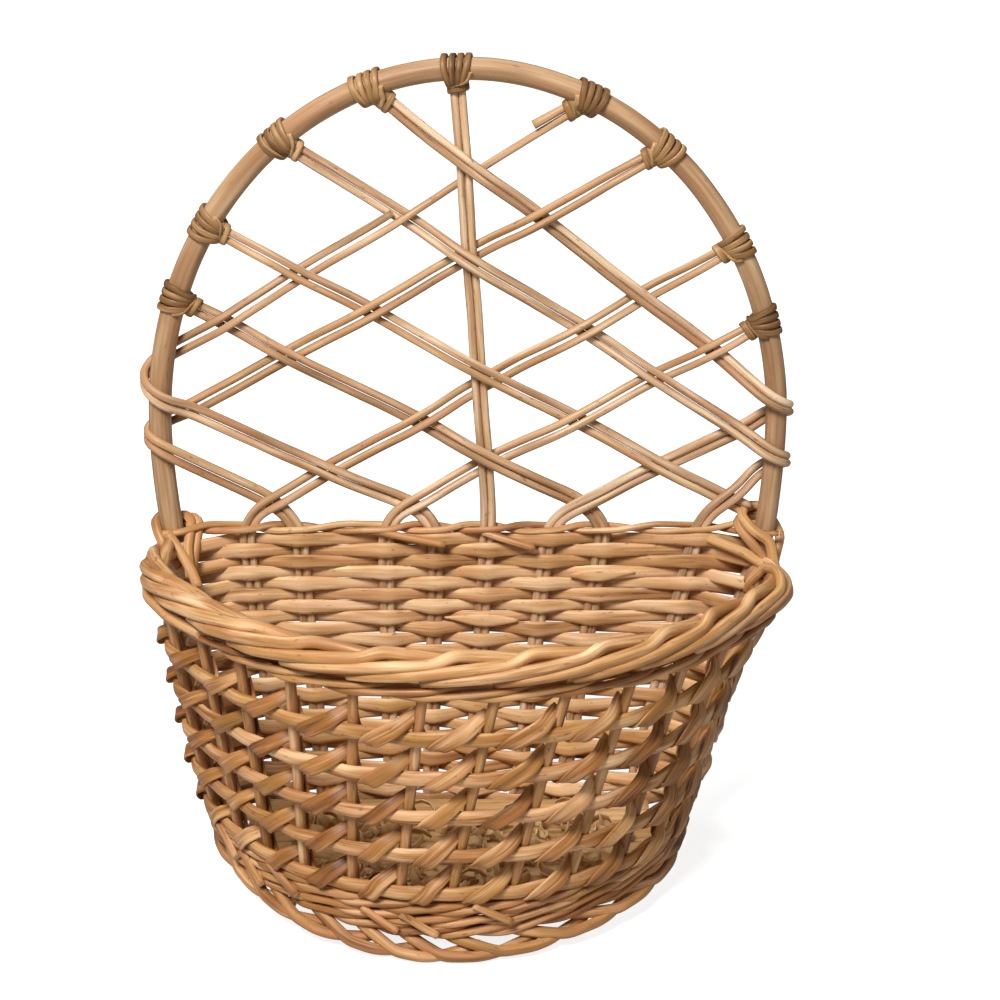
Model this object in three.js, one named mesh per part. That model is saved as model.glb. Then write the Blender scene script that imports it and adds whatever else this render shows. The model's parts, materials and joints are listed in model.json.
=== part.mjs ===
// Wicker wall basket: cane hoop with a woven lattice, flat back wall, twined D-shaped front.
// Millimetres, +Z up, +Y towards the wall, front towards -Y, origin at the middle of the foot.
import * as THREE from 'three';

// Clearances
const seat = 0.35; // gap between two rods that bear on each other
const weaveGap = 0.6; // gap between neighbouring rows of weaving

// Basket body, measured on the line of the stakes
const rimHeight = 150; // height at which the stakes turn into the border
const rimHalf = 137; // half width at the border
const rimDepth = 148; // depth from the back wall at the border
const footHalf = 106; // half width at the floor
const footDepth = 120; // depth at the floor
const footShift = -8; // sideways set of the foot, to the left
const planPower = 2.1; // 2 is an ellipse, more is squarer

// Hoop, one bent cane
const hoopRadius = 5.4; // at the left foot
const hoopTaper = 0.13; // share of the radius lost towards the right foot
const hoopHalf = 140.5; // half width where the arch springs
const hoopSpring = 205; // height where the arch springs
const hoopRise = 163; // arch height above the spring
const hoopSteps = 30; // steps round the arch
const legUpright = 8; // straight foot of each leg

// Lattice, pairs of rods that stand in the back wall and cross inside the hoop
const rodRadius = 2.0;
const pairGap = 0.9; // gap between the two rods of a pair
const backRise = 9; // the pairs leave the back wall this far above the border
const crossReach = 8.6; // half length of the level stretch at a crossing
const centreReach = 22; // crossings this close to the upright pair clear it too
const hoopReach = 24; // crossings this close to a turn round the hoop keep the side of that turn
const leftUpper = 219; // heights at which pairs turn round the hoop
const leftLower = 196;
const rightUpper = 209;
const rightLower = 184;
const turnRise = 7.5; // a pair climbs this much as it turns
const steepRise = 15; // and this much at the upper left turn
const pairFloor = 6; // height of the lowest point of a pair
const cornerLift = 6.5; // the pair at the right corner starts this far above the back rim
const endRoom = 3; // two lines that cross nearer than this to an end don't count as crossing
// Feet of the pairs, as shares of the half width
const pairShares = [-0.759, -0.577, -0.281, -0.107, 0.069, 0.275, 0.467, 0.781];

// Lashings round the hoop
const strandRadius = 1.45;
const lashTurns = 4;
const lashSteps = 8; // steps in one turn
const lashGap = 0.7; // gap between turns
const neckStep = { along: 0.4, in: 2.2, back: 1.4 }; // where the strand leaves the hoop for the pair
// Places of the lashings round the arch, in degrees from its right end
const lashAngles = {
  L1: 158.6, L2: 145.1, L3: 125.9, L4: 107.8, T: 91.7, R4: 67.4, R3: 51.6, R2: 31.1, R1: 17.3,
};

// Back wall weaving, half-round strips
const stripThick = 2.2;
const stripRows = 5; // rows woven by one strip
const stripCount = 5;
const backStart = 14; // height of the lowest row
const topShare = 0.7; // share of the top row that stands over the rim
const stripEnd = 3; // a strip's cut end passes the leg by this
const legReach = 4; // half length of the straight stretch over a leg
const twineSection = { height: 3.0, thick: 2.4 }; // twine along the top of the back wall
const twineDrop = 1.0; // gap from it to the top of the back wall
const twineTail = 10; // its loose ends past the last pair

// Front stakes
const stakeCount = 14;
const stakeRadius = 2.2;
const cornerRoom = 1; // gap between the weaving round a hoop leg and round the nearest stake
const stakeLean = 11; // sideways set of the stake feet at the middle of the front
const shaftFoot = 11.8; // height at which the stakes turn into the foot
const borderRun = 4.05; // border tail length in stake spacings
const tailTaper = 0.35; // share of the radius lost along a border tail
const footRun = 2.2; // foot tail length in stake spacings
const borderStep = 0.33; // length of one step of a border tail, in stake spacings
const footStep = 0.25; // length of one step of a foot tail

// Wrapped rows: a rod in front of all the stakes, folded round the first one, comes back as a flat strip
// that winds round the rod and each stake
const rowCount = 5;
const rowStart = 39.8; // height of the lowest row
const topRowDrop = 32; // the highest row, below the rim
const rowRod = { height: 4.4, thick: 3.0 };
const rowStrip = { height: 6.0, thick: 1.2 };
const rowTail = 4; // loose ends past the last stake
const wrapBack = 4.9; // depth of the strip behind a stake
const wrapPast = 4.6; // distances along the row: the strip comes forward past one stake,
const wrapUnder = 8.9; // goes under the rod,
const wrapLow = 11.4; // lies on its front from here
const wrapHigh = 8; // to this far short of the next stake,
const wrapOver = 6.9; // goes over its top
const wrapDown = 3.6; // and down behind that stake
// Heights of the strip at those places, and distances out from the stakes
const wrapRise = { behind: 3.5, past: -1.6, under: -4.4, low: -2.2, high: 5.2, over: 8.2, down: 7 };
const wrapDepth = { past: -0.6, over: 2.6, down: -2.9 };
const wrapNarrow = 0.32; // share of its width as it turns

// Wales: thin twined rows, each one rod folded round the first stake
const waleSection = { height: 2.7, thick: 2.2 };
const waleStart = 16.2; // height of the lowest bottom wale
const waleCount = 3;
const rimWaleDrop = 13.6; // the wale under the border, below the rim
const strandGap = 0.75; // half the gap between two strands as they pass

// Hooks, doubled rods that tie the border to the hoop legs
const hookRun = 58; // length lying on the border
const hookLift = 1.95; // height of the left hook above the rim, in rod spacings
const hookOut = 1.12; // its ends lie this far to each side of the stakes, in rod spacings
const startLift = 0.85; // height of the right hook above the rim, in rod spacings

// Base
const slatCount = 5;
const slatThick = 2.0;
const slatGap = 1.2;
const runnerCount = 4;
const runnerRadius = 1.4;
const runnerSpread = 0.6; // place of the outer runners, as a share of the half width
const runnerShort = 3; // gap from a runner's end to the weaving
const slatShort = 4; // gap from the slats to the weaving

// Colours
const colours = {
  hoop: 0xc2a377, pair: 0x9a7a4c, lashing: 0x7a5a30, strip: 0xa98158, backTwine: 0x8f6a3e, stake: 0x967247,
  row: 0xb48a5a, footWale: 0xa06f3c, rimWale: 0x93683a, hook: 0x8c683c, slat: 0xd2bd90, runner: 0xb99a68,
};

// Sizes that follow
const pairHalf = rodRadius + pairGap / 2; // from a pair's middle to each rod
const backRim = rimHeight + backRise;
const stripPitch = (rimHeight - backStart) / (stripRows * stripCount - topShare);
const stripHeight = stripPitch - weaveGap;
const rowPitch = (rimHeight - topRowDrop - rowStart) / (rowCount - 1);
const rodStep = 2 * stakeRadius + seat; // centre to centre of two bearing stakes
const legClear = (hoopRadius + stripThick / 2 + seat) / Math.cos(Math.PI / 8); // strip's middle round a leg
const cornerFoot = legClear + stripThick / 2 + 2 * stakeRadius + waleSection.thick + cornerRoom;
const cornerGap = cornerFoot * rimDepth / footDepth; // from a leg to the nearest stake

const rad = (degrees) => degrees * Math.PI / 180;
const lerp = THREE.MathUtils.lerp;
const V2 = (x, z) => new THREE.Vector2(x, z);
const V3 = (x, y, z) => new THREE.Vector3(x, y, z);
const zAxis = V3(0, 0, 1);
const yAxis = V3(0, 1, 0);

// Sweeps keep their own points and frames, so that a section can hold its attitude, turn and taper.
class Route extends THREE.Curve {
  constructor(points, { up = null, faces = null, size = () => 1, wide = size } = {}) {
    super();
    Object.assign(this, { points, up, faces, size, wide });
  }
  getPoint(t, target = new THREE.Vector3()) {
    return target.copy(this.points[Math.round(t * (this.points.length - 1))]);
  }
  getSpacedPoints() {
    return this.points.map((p) => p.clone());
  }
  computeFrenetFrames() {
    const last = this.points.length - 1;
    const tangents = this.points.map((p, i) => {
      const ahead = this.points[Math.min(i + 1, last)].clone().sub(p).normalize();
      const behind = p.clone().sub(this.points[Math.max(i - 1, 0)]).normalize();
      return ahead.add(behind).normalize();
    });
    let carried = this.up ?? (Math.abs(tangents[0].y) < 0.8 ? yAxis : zAxis);
    const normals = [];
    const binormals = [];
    tangents.forEach((t, i) => {
      const b = this.faces ? this.faces[i].clone().cross(t) : (this.up ?? carried).clone();
      b.addScaledVector(t, -b.dot(t)).normalize();
      carried = b;
      normals.push(b.clone().cross(t).multiplyScalar(this.size(i / last)));
      binormals.push(b.clone().multiplyScalar(this.wide(i / last)));
    });
    return { tangents, normals, binormals };
  }
}

function roundSection(radius, sides) {
  const corner = (i) => rad(360 * (i + 0.5) / sides);
  return new THREE.Shape(Array.from({ length: sides }, (_, i) =>
    V2(radius * Math.cos(corner(i)), radius * Math.sin(corner(i)))));
}

function flatSection({ thick, height }) {
  return new THREE.Shape([V2(-thick / 2, -height / 2), V2(thick / 2, -height / 2),
    V2(thick / 2, height / 2), V2(-thick / 2, height / 2)]);
}

// Flat on one side, ridged on the other, like a split rod.
function splitSection({ thick, height }) {
  return new THREE.Shape([V2(-thick / 2, -height / 2), V2(thick / 2, 0), V2(-thick / 2, height / 2)]);
}

function sweep(points, section, options) {
  return new THREE.ExtrudeGeometry(section,
    { steps: points.length - 1, extrudePath: new Route(points, options) });
}

const root = new THREE.Group();
root.name = 'wicker_wall_basket';
const shifted = new THREE.Group();
root.add(shifted);

function add(name, geometry, colour) {
  const material = new THREE.MeshStandardMaterial({ color: colour, roughness: 0.6 });
  const mesh = new THREE.Mesh(geometry, material);
  mesh.name = name;
  shifted.add(mesh);
}

// Plan of the front wall: a half superellipse between the two hoop legs.
const rise = (z) => Math.min(z / rimHeight, 1.08);
const planHalf = (z) => lerp(footHalf, rimHalf, rise(z));
const planDepth = (z) => lerp(footDepth, rimDepth, rise(z));
const planShift = (z) => lerp(footShift, 0, Math.min(rise(z), 1));
const bow = (c) => Math.sign(c) * Math.abs(c) ** (2 / planPower);
const planRaw = (angle, z) => V3(planShift(z) - planHalf(z) * bow(Math.cos(angle)),
  -planDepth(z) * bow(Math.sin(angle)), z);

const arcTable = [0];
const arcSteps = 720;
for (let i = 1; i <= arcSteps; i += 1) {
  const a = planRaw(Math.PI * (i - 1) / arcSteps, rimHeight);
  arcTable.push(arcTable[i - 1] + a.distanceTo(planRaw(Math.PI * i / arcSteps, rimHeight)));
}
const arcLength = arcTable[arcSteps];

function arcAngle(s) {
  const i = Math.min(Math.max(arcTable.findIndex((v) => v > s), 1), arcSteps);
  const part = (s - arcTable[i - 1]) / (arcTable[i] - arcTable[i - 1]);
  return Math.PI * (i - 1 + part) / arcSteps;
}

// A point on the wall: s along the border, out from the stake line, at a height.
function onWall(s, out, z) {
  const angle = arcAngle(THREE.MathUtils.clamp(s, 0.01, arcLength - 0.01));
  const p = planRaw(angle, z);
  const along = planRaw(angle + 0.004, z).sub(planRaw(angle - 0.004, z)).normalize();
  return p.add(V3(along.y, -along.x, 0).multiplyScalar(out));
}

const stakeSpan = (arcLength - 2 * cornerGap) / (stakeCount - 1);
const leanShare = (s) => Math.sin(Math.PI * s / arcLength) ** 2;
const leanAt = (s, z) => s - stakeLean * leanShare(s) * (1 - Math.min(rise(z), 1));
const stakeAt = (k, z) => leanAt(cornerGap + k * stakeSpan, z);

// Hoop
const legX = (side, z) => planShift(z) + side * planHalf(Math.min(z, rimHeight));
function hoopX(side, z) {
  const part = THREE.MathUtils.clamp((z - rimHeight) / (hoopSpring - rimHeight), 0, 1);
  return z < rimHeight ? legX(side, z) : side * lerp(rimHalf, hoopHalf, Math.sin(part * Math.PI / 2));
}
const archPoint = (angle) => V2(hoopHalf * Math.cos(angle), hoopSpring + hoopRise * Math.sin(angle));
function hoopLeg(side) {
  const feet = [0, legUpright].map((z) => V3(legX(side, legUpright), 0, z));
  const rest = [0.5, 1].map((f) => lerp(legUpright, rimHeight, f)).concat(
    [1 / 3, 2 / 3].map((f) => lerp(rimHeight, hoopSpring, f)));
  return feet.concat(rest.map((z) => V3(hoopX(side, z), 0, z)));
}
const archPoints = Array.from({ length: hoopSteps + 1 }, (_, i) => {
  const p = archPoint(Math.PI * (1 - i / hoopSteps));
  return V3(p.x, 0, p.y);
});
const hoopPath = [...hoopLeg(-1), ...archPoints, ...hoopLeg(1).reverse()];
const hoopSize = (t) => 1 - hoopTaper * t;
const hoopShape = roundSection(hoopRadius, 8);
add('hoop', sweep(hoopPath, hoopShape, { up: yAxis, size: hoopSize }), colours.hoop);

// Lattice lines. Family A falls to the right, family B falls to the left, V is upright.
const pairFeet = pairShares.map((share) => share * rimHalf); // across the back rim
const feet = pairFeet.map((x) => V2(x, backRim));
const lashSpot = (name) => archPoint(rad(lashAngles[name]));
const hoopSpot = (side, z) => V2(hoopX(side, z), z);
const cornerTip = V2(rimHalf - hoopRadius - 3 * stakeRadius - pairHalf, backRim + cornerLift);
const lines = {
  A1: { low: hoopSpot(1, rightUpper + turnRise), high: lashSpot('L4'), lash: 'L4' },
  A2: { low: hoopSpot(1, rightLower + turnRise), high: lashSpot('L3'), lash: 'L3' },
  A3: { low: cornerTip, high: lashSpot('L2'), lash: 'L2' },
  A4: { low: feet[6], high: lashSpot('L1'), lash: 'L1' },
  A5: { low: feet[3], high: hoopSpot(-1, leftUpper) },
  A6: { low: feet[1], high: hoopSpot(-1, leftLower) },
  B1: { low: hoopSpot(-1, leftUpper + steepRise), high: lashSpot('R4'), lash: 'R4' },
  B2: { low: hoopSpot(-1, leftLower + turnRise), high: lashSpot('R3'), lash: 'R3' },
  B3: { low: feet[0], high: lashSpot('R2'), lash: 'R2' },
  B4: { low: feet[2], high: lashSpot('R1'), lash: 'R1' },
  B5: { low: feet[5], high: hoopSpot(1, rightUpper) },
  B6: { low: feet[7], high: hoopSpot(1, rightLower) },
  V: { low: feet[4], high: lashSpot('T'), lash: 'T' },
};
const latticePairs = [
  ['B3'], ['A6', 'B2'], ['B4'], ['A5', 'B1'], ['V'], ['B5', 'A1'], ['A4'], ['B6', 'A2'], ['A3'],
];
const layerStep = rodRadius + seat / 2; // half the depth between two crossing rods
const middleStep = 2 * layerStep; // depth of a rod that also clears the upright pair
const wrapStep = (hoopRadius + rodRadius + seat) / Math.cos(rad(22.5));

Object.entries(lines).forEach(([name, line]) => {
  line.name = name;
  line.dir = line.high.clone().sub(line.low);
  line.length = line.dir.length();
  line.dir.normalize();
});

function meet(a, b) {
  const cross = a.dir.cross(b.dir);
  const gap = b.low.clone().sub(a.low);
  const s = gap.cross(b.dir) / cross;
  const t = gap.cross(a.dir) / cross;
  const inside = (place, line) => place > endRoom && place < line.length - endRoom;
  return inside(s, a) && inside(t, b) ? s : null;
}

const turned = latticePairs.filter((names) => names.length === 2).map((names) => names[1]);
function nearTurn(line, s) {
  return line.lash ? turned.includes(line.name) && s < hoopReach : line.length - s < hoopReach;
}

// Where a line must stand forward of the middle (negative) or behind it.
function levels(line) {
  const found = [];
  Object.values(lines).forEach((other) => {
    const sameFamily = other.name[0] === line.name[0];
    const s = sameFamily ? null : meet(line, other);
    if (s === null || line.name === 'V') return;
    const front = line.name[0] === 'A' ? -1 : 1;
    const place = line.low.clone().addScaledVector(line.dir, s);
    const upright = lines.V.low.x + lines.V.dir.x / lines.V.dir.y * (place.y - backRim);
    if (other.name === 'V' || Math.abs(place.x - upright) < centreReach) {
      found.push({ s, depth: front * middleStep });
      return;
    }
    const even = (Number(line.name[1]) + Number(other.name[1])) % 2 === 0;
    const atTurn = nearTurn(line, s) || nearTurn(other, meet(other, line));
    found.push({ s, depth: front * (even || atTurn ? 1 : -1) * layerStep });
  });
  return found.sort((a, b) => a.s - b.s);
}

// Lashing frame: hoop centre, direction into the pair, lateral, and the length kept free of the rods.
function lashFrame(line) {
  const angle = rad(lashAngles[line.lash]);
  const tangent = V2(-hoopHalf * Math.sin(angle), hoopRise * Math.cos(angle)).normalize();
  const inward = V2(tangent.y, -tangent.x);
  if (inward.dot(line.dir) > 0) inward.negate();
  const into = line.dir.clone().negate();
  const lateral = V2(-into.y, into.x);
  if (lateral.dot(tangent) * into.dot(tangent) > 0) lateral.negate();
  const hoopHere = hoopRadius * hoopSize(1 - angle / Math.PI);
  const radius = (hoopHere + strandRadius + seat) / Math.cos(Math.PI / lashSteps);
  const free = radius + strandRadius + seat + (pairHalf + rodRadius) * Math.abs(lateral.dot(inward));
  return { centre: line.high, tangent, inward, into, lateral, radius, free: free / into.dot(inward) };
}

// Middle line of a pair as nodes with depth and the direction in which its two rods part.
function pairNodes(names, footX) {
  const nodes = [];
  let part = lines[names[0]].dir.x > 0 ? 1 : -1;
  const side = (d) => V2(-d.y, d.x).multiplyScalar(part);
  names.forEach((name, order) => {
    const line = lines[name];
    const along = (s) => line.low.clone().addScaledVector(line.dir, s);
    const at = (s, depth) => ({ p: along(s), depth, off: side(line.dir) });
    const front = name[0] === 'A' ? -1 : 1;
    const wrapAhead = order === 0 && names.length === 2;
    const hoopEnd = (hoopRadius + rodRadius + seat + pairHalf * line.dir.y) / Math.abs(line.dir.x);
    if (order === 0 && footX !== null) {
      const up = V2(line.low.x - footX, backRim).normalize();
      const bend = side(up).add(side(line.dir)).normalize();
      bend.divideScalar(bend.dot(side(up)));
      nodes.push({ p: V2(footX + up.x / up.y * pairFloor, pairFloor), depth: 0, off: side(up) });
      nodes.push({ p: line.low.clone(), depth: 0, off: bend });
    } else if (order === 0) {
      nodes.push(at(0, levels(line)[0].depth));
    } else {
      nodes.push(at(0, front * wrapStep), at(hoopEnd, front * wrapStep));
    }
    const stop = line.lash ? line.length - lashFrame(line).free : line.length - hoopEnd;
    const reach = levels(line);
    reach.forEach((level, i) => {
      const before = reach[i - 1];
      const after = reach[i + 1];
      const joined = (other) => other && other.depth === level.depth
        && Math.abs(level.s - other.s) < 3 * crossReach;
      const previous = nodes[nodes.length - 1].p.distanceTo(line.low);
      const start = before
        ? Math.max(level.s - crossReach, (before.s + level.s) / 2 + 1)
        : Math.max(level.s - crossReach, Math.min(previous + 2, level.s - crossReach / 2));
      const end = after
        ? Math.min(level.s + crossReach, (after.s + level.s) / 2 - 1)
        : level.s + crossReach;
      if (!joined(before)) nodes.push(at(start, level.depth));
      if (!joined(after)) nodes.push(at(Math.min(end, stop - 1), level.depth));
    });
    if (wrapAhead) {
      nodes.push(at(line.length - hoopEnd, front * wrapStep), at(line.length, front * wrapStep));
      const next = lines[names[1]];
      const outward = Math.sign(line.high.x);
      [45, 90, 135].forEach((turn) => {
        const p = line.high.clone().lerp(next.low, turn / 180);
        p.x += outward * wrapStep * Math.sin(rad(turn));
        nodes.push({ p, depth: front * wrapStep * Math.cos(rad(turn)), off: V2(0, 1) });
      });
      part = -part;
    } else {
      const end = nodes[nodes.length - 1];
      line.last = { s: end.p.distanceTo(line.low), depth: end.depth, stop };
      nodes.push(at(stop, 0));
    }
  });
  return nodes;
}

const rodShape = roundSection(rodRadius, 5);
const footX = (x) => planShift(0) + x * footHalf / rimHalf;
latticePairs.forEach((names, i) => {
  const footed = i < pairFeet.length;
  const nodes = pairNodes(names, footed ? footX(pairFeet[i]) : null);
  const rod = (sign) => nodes.map(({ p, depth, off }) =>
    V3(p.x + sign * pairHalf * off.x, depth, p.y + sign * pairHalf * off.y));
  const ends = [rod(1), rod(-1)];
  const first = nodes[0];
  const down = first.p.clone().sub(nodes[1].p).normalize();
  const turn = [45, 0, -45].map((a) => {
    const p = first.p.clone().addScaledVector(down, pairHalf * Math.cos(rad(a)) * 1.15);
    p.addScaledVector(first.off, pairHalf * Math.sin(rad(a)));
    return V3(p.x, first.depth, p.y);
  });
  const path = [...ends[0].reverse(), ...turn, ...ends[1]];
  add(`lattice_pair_${i + 1}`, sweep(path, rodShape), colours.pair);
});

// Lashings: turns round the hoop, then one turn round the neck of the pair.
let leastLash = Infinity;
function measureGap(points, radius) {
  const fine = [];
  let travel = 0;
  points.slice(1).forEach((p, i) => {
    const span = p.distanceTo(points[i]);
    for (let f = 0; f < 1; f += 0.25) fine.push({ p: points[i].clone().lerp(p, f), s: travel + f * span });
    travel += span;
  });
  let least = Infinity;
  fine.forEach((a, i) => fine.slice(i + 1).forEach((b) => {
    if (b.s - a.s > 8 * radius) least = Math.min(least, a.p.distanceTo(b.p) - 2 * radius);
  }));
  return least;
}

Object.values(lines).filter((line) => line.lash).forEach((line) => {
  const { centre, tangent, inward, into, lateral, radius, free } = lashFrame(line);
  const pitch = 2 * strandRadius + lashGap;
  const toSide = Math.sign(lateral.dot(tangent));
  const place = (t, n, y) => {
    const p = centre.clone().addScaledVector(tangent, toSide * t).addScaledVector(inward, n);
    return V3(p.x, y, p.y);
  };
  const points = [];
  const count = lashTurns * lashSteps;
  for (let i = 0; i <= count; i += 1) {
    const turn = 2 * Math.PI * i / lashSteps;
    const along = pitch * (i / lashSteps - lashTurns / 2);
    points.push(place(along, radius * Math.cos(turn), radius * Math.sin(turn)));
  }
  const neck = (rodRadius + strandRadius + seat) / Math.cos(Math.PI / lashSteps);
  const ring = (turn, along) => {
    const wide = pairHalf * THREE.MathUtils.clamp(1.3 * Math.cos(turn), -1, 1) + neck * Math.cos(turn);
    const p = centre.clone().addScaledVector(into, free + along).addScaledVector(lateral, wide);
    const { s, depth, stop } = line.last;
    const part = THREE.MathUtils.clamp(along / (stop - s), 0, 1);
    return V3(p.x, depth * part + neck * Math.sin(turn), p.y);
  };
  points.push(place(pitch * lashTurns / 2 + neckStep.along, radius + neckStep.in, neckStep.back));
  for (let i = 0; i <= lashSteps; i += 1) {
    points.push(ring(2 * Math.PI * i / lashSteps, strandRadius + seat + pitch * i / lashSteps));
  }
  leastLash = Math.min(leastLash, measureGap(points, strandRadius));
  add(`lashing_${line.lash}`, sweep(points, roundSection(strandRadius, 4)), colours.lashing);
});
console.log(`least gap of a lashing to itself ${leastLash.toFixed(2)} mm`);

// Back wall: strips woven to and fro over the pairs and turned round the hoop legs.
const pairClear = rodRadius + stripThick / 2 + seat;
const pairReach = pairHalf + rodRadius + 0.8;
const wallX = (x, z) => planShift(z) + x * planHalf(z) / rimHalf;
const stripShape = splitSection({ thick: stripThick, height: stripHeight });
for (let strip = 0; strip < stripCount; strip += 1) {
  const points = [];
  for (let row = strip * stripRows; row < (strip + 1) * stripRows; row += 1) {
    const z = backStart + row * stripPitch;
    const heading = row % 2 === 0 ? 1 : -1;
    const near = (post) => ((row + post) % 2 === 0 ? -1 : 1);
    const posts = pairFeet.map((x, i) => ({ x: wallX(x, z), y: near(i + 1) * pairClear }));
    if (heading < 0) posts.reverse();
    const from = heading > 0 ? 0 : pairFeet.length + 1;
    const to = pairFeet.length + 1 - from;
    const startX = legX(-heading, z);
    const endX = legX(heading, z);
    if (row === strip * stripRows) points.push(V3(startX - heading * stripEnd, near(from) * legClear, z));
    points.push(V3(startX + heading * legReach, near(from) * legClear, z));
    posts.forEach(({ x, y }) => {
      points.push(V3(x - heading * pairReach, y, z), V3(x + heading * pairReach, y, z));
    });
    points.push(V3(endX - heading * legReach, near(to) * legClear, z));
    if (row === (strip + 1) * stripRows - 1) {
      points.push(V3(endX + heading * stripEnd, near(to) * legClear, z));
    } else {
      for (let turn = 0; turn <= 180; turn += 45) {
        const up = z + stripPitch * turn / 180;
        points.push(V3(legX(heading, up) + heading * legClear * Math.sin(rad(turn)),
          near(to) * legClear * Math.cos(rad(turn)), up));
      }
    }
  }
  add(`back_weaver_${strip + 1}`, sweep(points, stripShape, { up: zAxis }), colours.strip);
}

// Twined strand pairs: one rod folded round the first post, half a turn between posts.
function twine(posts, { reach, clear, rises, tail }) {
  const strand = (phase) => {
    const points = [];
    posts.forEach((place, k) => {
      const out = (k + phase) % 2 === 0 ? 1 : -1;
      if (reach > 0) points.push(place(-reach, out * clear, 0));
      points.push(place(reach, out * clear, 0));
      if (k < posts.length - 1) {
        const between = place(reach, 0, 0).lerp(posts[k + 1](-reach, 0, 0), 0.5);
        points.push(between.add(V3(0, 0, out * rises)));
      } else {
        points.push(place(reach + tail, out * clear, 0));
      }
    });
    return points;
  };
  const fold = [-45, 0, 45].map((a) =>
    posts[0](-reach - clear * Math.cos(rad(a)), clear * Math.sin(rad(a)), 0));
  return [...strand(1).reverse(), ...fold, ...strand(0)];
}

// Places beside each stake at a height: along the row, out from the stake line and up.
function stakePosts(z) {
  const scale = planDepth(z) / rimDepth;
  return Array.from({ length: stakeCount }, (_, k) => (along, out, lift) =>
    onWall(stakeAt(k, z) + along / scale, out, z + lift));
}

function waleRow(name, z, section, colour) {
  const posts = stakePosts(z);
  const slope = 1 - 2 * stakeRadius / (stakeSpan * footHalf / rimHalf); // left of the depth beside a stake
  const clear = (stakeRadius + section.thick / 2 + seat) / slope;
  const points = twine(posts, { reach: 0, clear, rises: section.height / 2 + strandGap, tail: rowTail });
  add(name, sweep(points, flatSection(section), { up: zAxis }), colour);
  return clear;
}

// Wrapped rows
const leanRoom = rowRod.height / 4 * (rimHalf - footHalf - footShift) / rimHeight; // the stakes lean outwards
const rodOut = stakeRadius + seat + leanRoom + rowRod.thick / 2; // middle of the rod in front of the stakes
const stripOut = rodOut + (rowRod.thick + rowStrip.thick) / 2 + seat; // middle of the strip in front of it
function wrappedRow(name, z) {
  const stations = [];
  const put = (place, [along, out, lift], [turnOut, turnUp], thick, wide) => {
    const point = place(along, out, lift);
    const outward = place(along, out + 1, lift).sub(point);
    const sideways = place(along + 1, out, lift).sub(point).normalize();
    const flat = Math.max(1 - Math.abs(turnOut) - Math.abs(turnUp), 0);
    const face = outward.multiplyScalar(turnOut).addScaledVector(zAxis, turnUp);
    face.addScaledVector(sideways, -flat);
    stations.push({ point, face, thick, wide });
  };
  const posts = stakePosts(z);
  const strip = rowStrip;
  const narrow = strip.height * wrapNarrow;
  const middle = (wrapLow + stakeSpan * planDepth(z) / rimDepth - wrapHigh) / 2;
  posts.slice().reverse().forEach((place, k) => {
    const tail = k === 0 ? [[rowTail, rodOut, 0]] : [];
    tail.concat([[0, rodOut, 0]]).forEach((at) => put(place, at, [1, 0], rowRod.thick, rowRod.height));
  });
  [[45, 1, 0.95], [0, 0, 0.8], [-45, -1, 0.65]].forEach(([turn, turnOut, share]) => {
    const at = [-wrapBack * Math.cos(rad(turn)), wrapBack * Math.sin(rad(turn)), 0];
    put(posts[0], at, [0.7 * turnOut, 0], rowRod.thick * share, rowRod.height * share);
  });
  posts.forEach((place, k) => {
    put(place, [0, -wrapBack, wrapRise.behind], [-1, 0], strip.thick, narrow);
    const next = posts[k + 1];
    if (!next) return;
    put(place, [wrapPast, wrapDepth.past, wrapRise.past], [-0.8, -0.6], strip.thick, narrow);
    put(place, [wrapUnder, rodOut, wrapRise.under], [0.3, -0.95], strip.thick, narrow);
    put(place, [wrapLow, stripOut, wrapRise.low], [1, 0], strip.thick, narrow);
    put(place, [middle, stripOut, (wrapRise.low + wrapRise.high) / 2], [1, 0], strip.thick, strip.height);
    put(next, [-wrapHigh, stripOut, wrapRise.high], [1, 0], strip.thick, narrow);
    put(next, [-wrapOver, wrapDepth.over, wrapRise.over], [0.5, 0.85], strip.thick, narrow);
    put(next, [-wrapDown, wrapDepth.down, wrapRise.down], [-0.5, 0.85], strip.thick, narrow);
  });
  put(posts[stakeCount - 1], [rowTail, -wrapBack, wrapRise.past], [-1, 0], strip.thick, narrow);
  const last = stations.length - 1;
  const path = sweep(stations.map(({ point }) => point), splitSection({ thick: 1, height: 1 }), {
    faces: stations.map(({ face }) => face),
    size: (t) => stations[Math.round(t * last)].thick,
    wide: (t) => stations[Math.round(t * last)].wide,
  });
  add(name, path, colours.row);
}
for (let i = 0; i < rowCount; i += 1) wrappedRow(`twined_row_${i + 1}`, rowStart + i * rowPitch);

// Wales
const walePitch = 2 * (waleSection.height + strandGap) + strandGap;
let waleClear = 0;
for (let i = 0; i < waleCount; i += 1) {
  waleClear = waleRow(`foot_wale_${i + 1}`, waleStart + i * walePitch, waleSection, colours.footWale);
}
waleRow('rim_wale', rimHeight - rimWaleDrop, waleSection, colours.rimWale);

// Twine along the top of the back wall
const twineZ = backRim - twineSection.height - twineDrop;
const backPosts = pairFeet.map((x) => (along, out, lift) =>
  V3(wallX(x, twineZ) + along, -out, twineZ + lift));
const twinePath = twine(backPosts, {
  reach: pairHalf + rodRadius + strandGap - 0.1,
  clear: rodRadius + twineSection.thick / 2 + seat,
  rises: twineSection.height / 2 + strandGap,
  tail: twineTail,
});
add('back_rim_twine', sweep(twinePath, flatSection(twineSection), { up: zAxis }), colours.backTwine);

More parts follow.
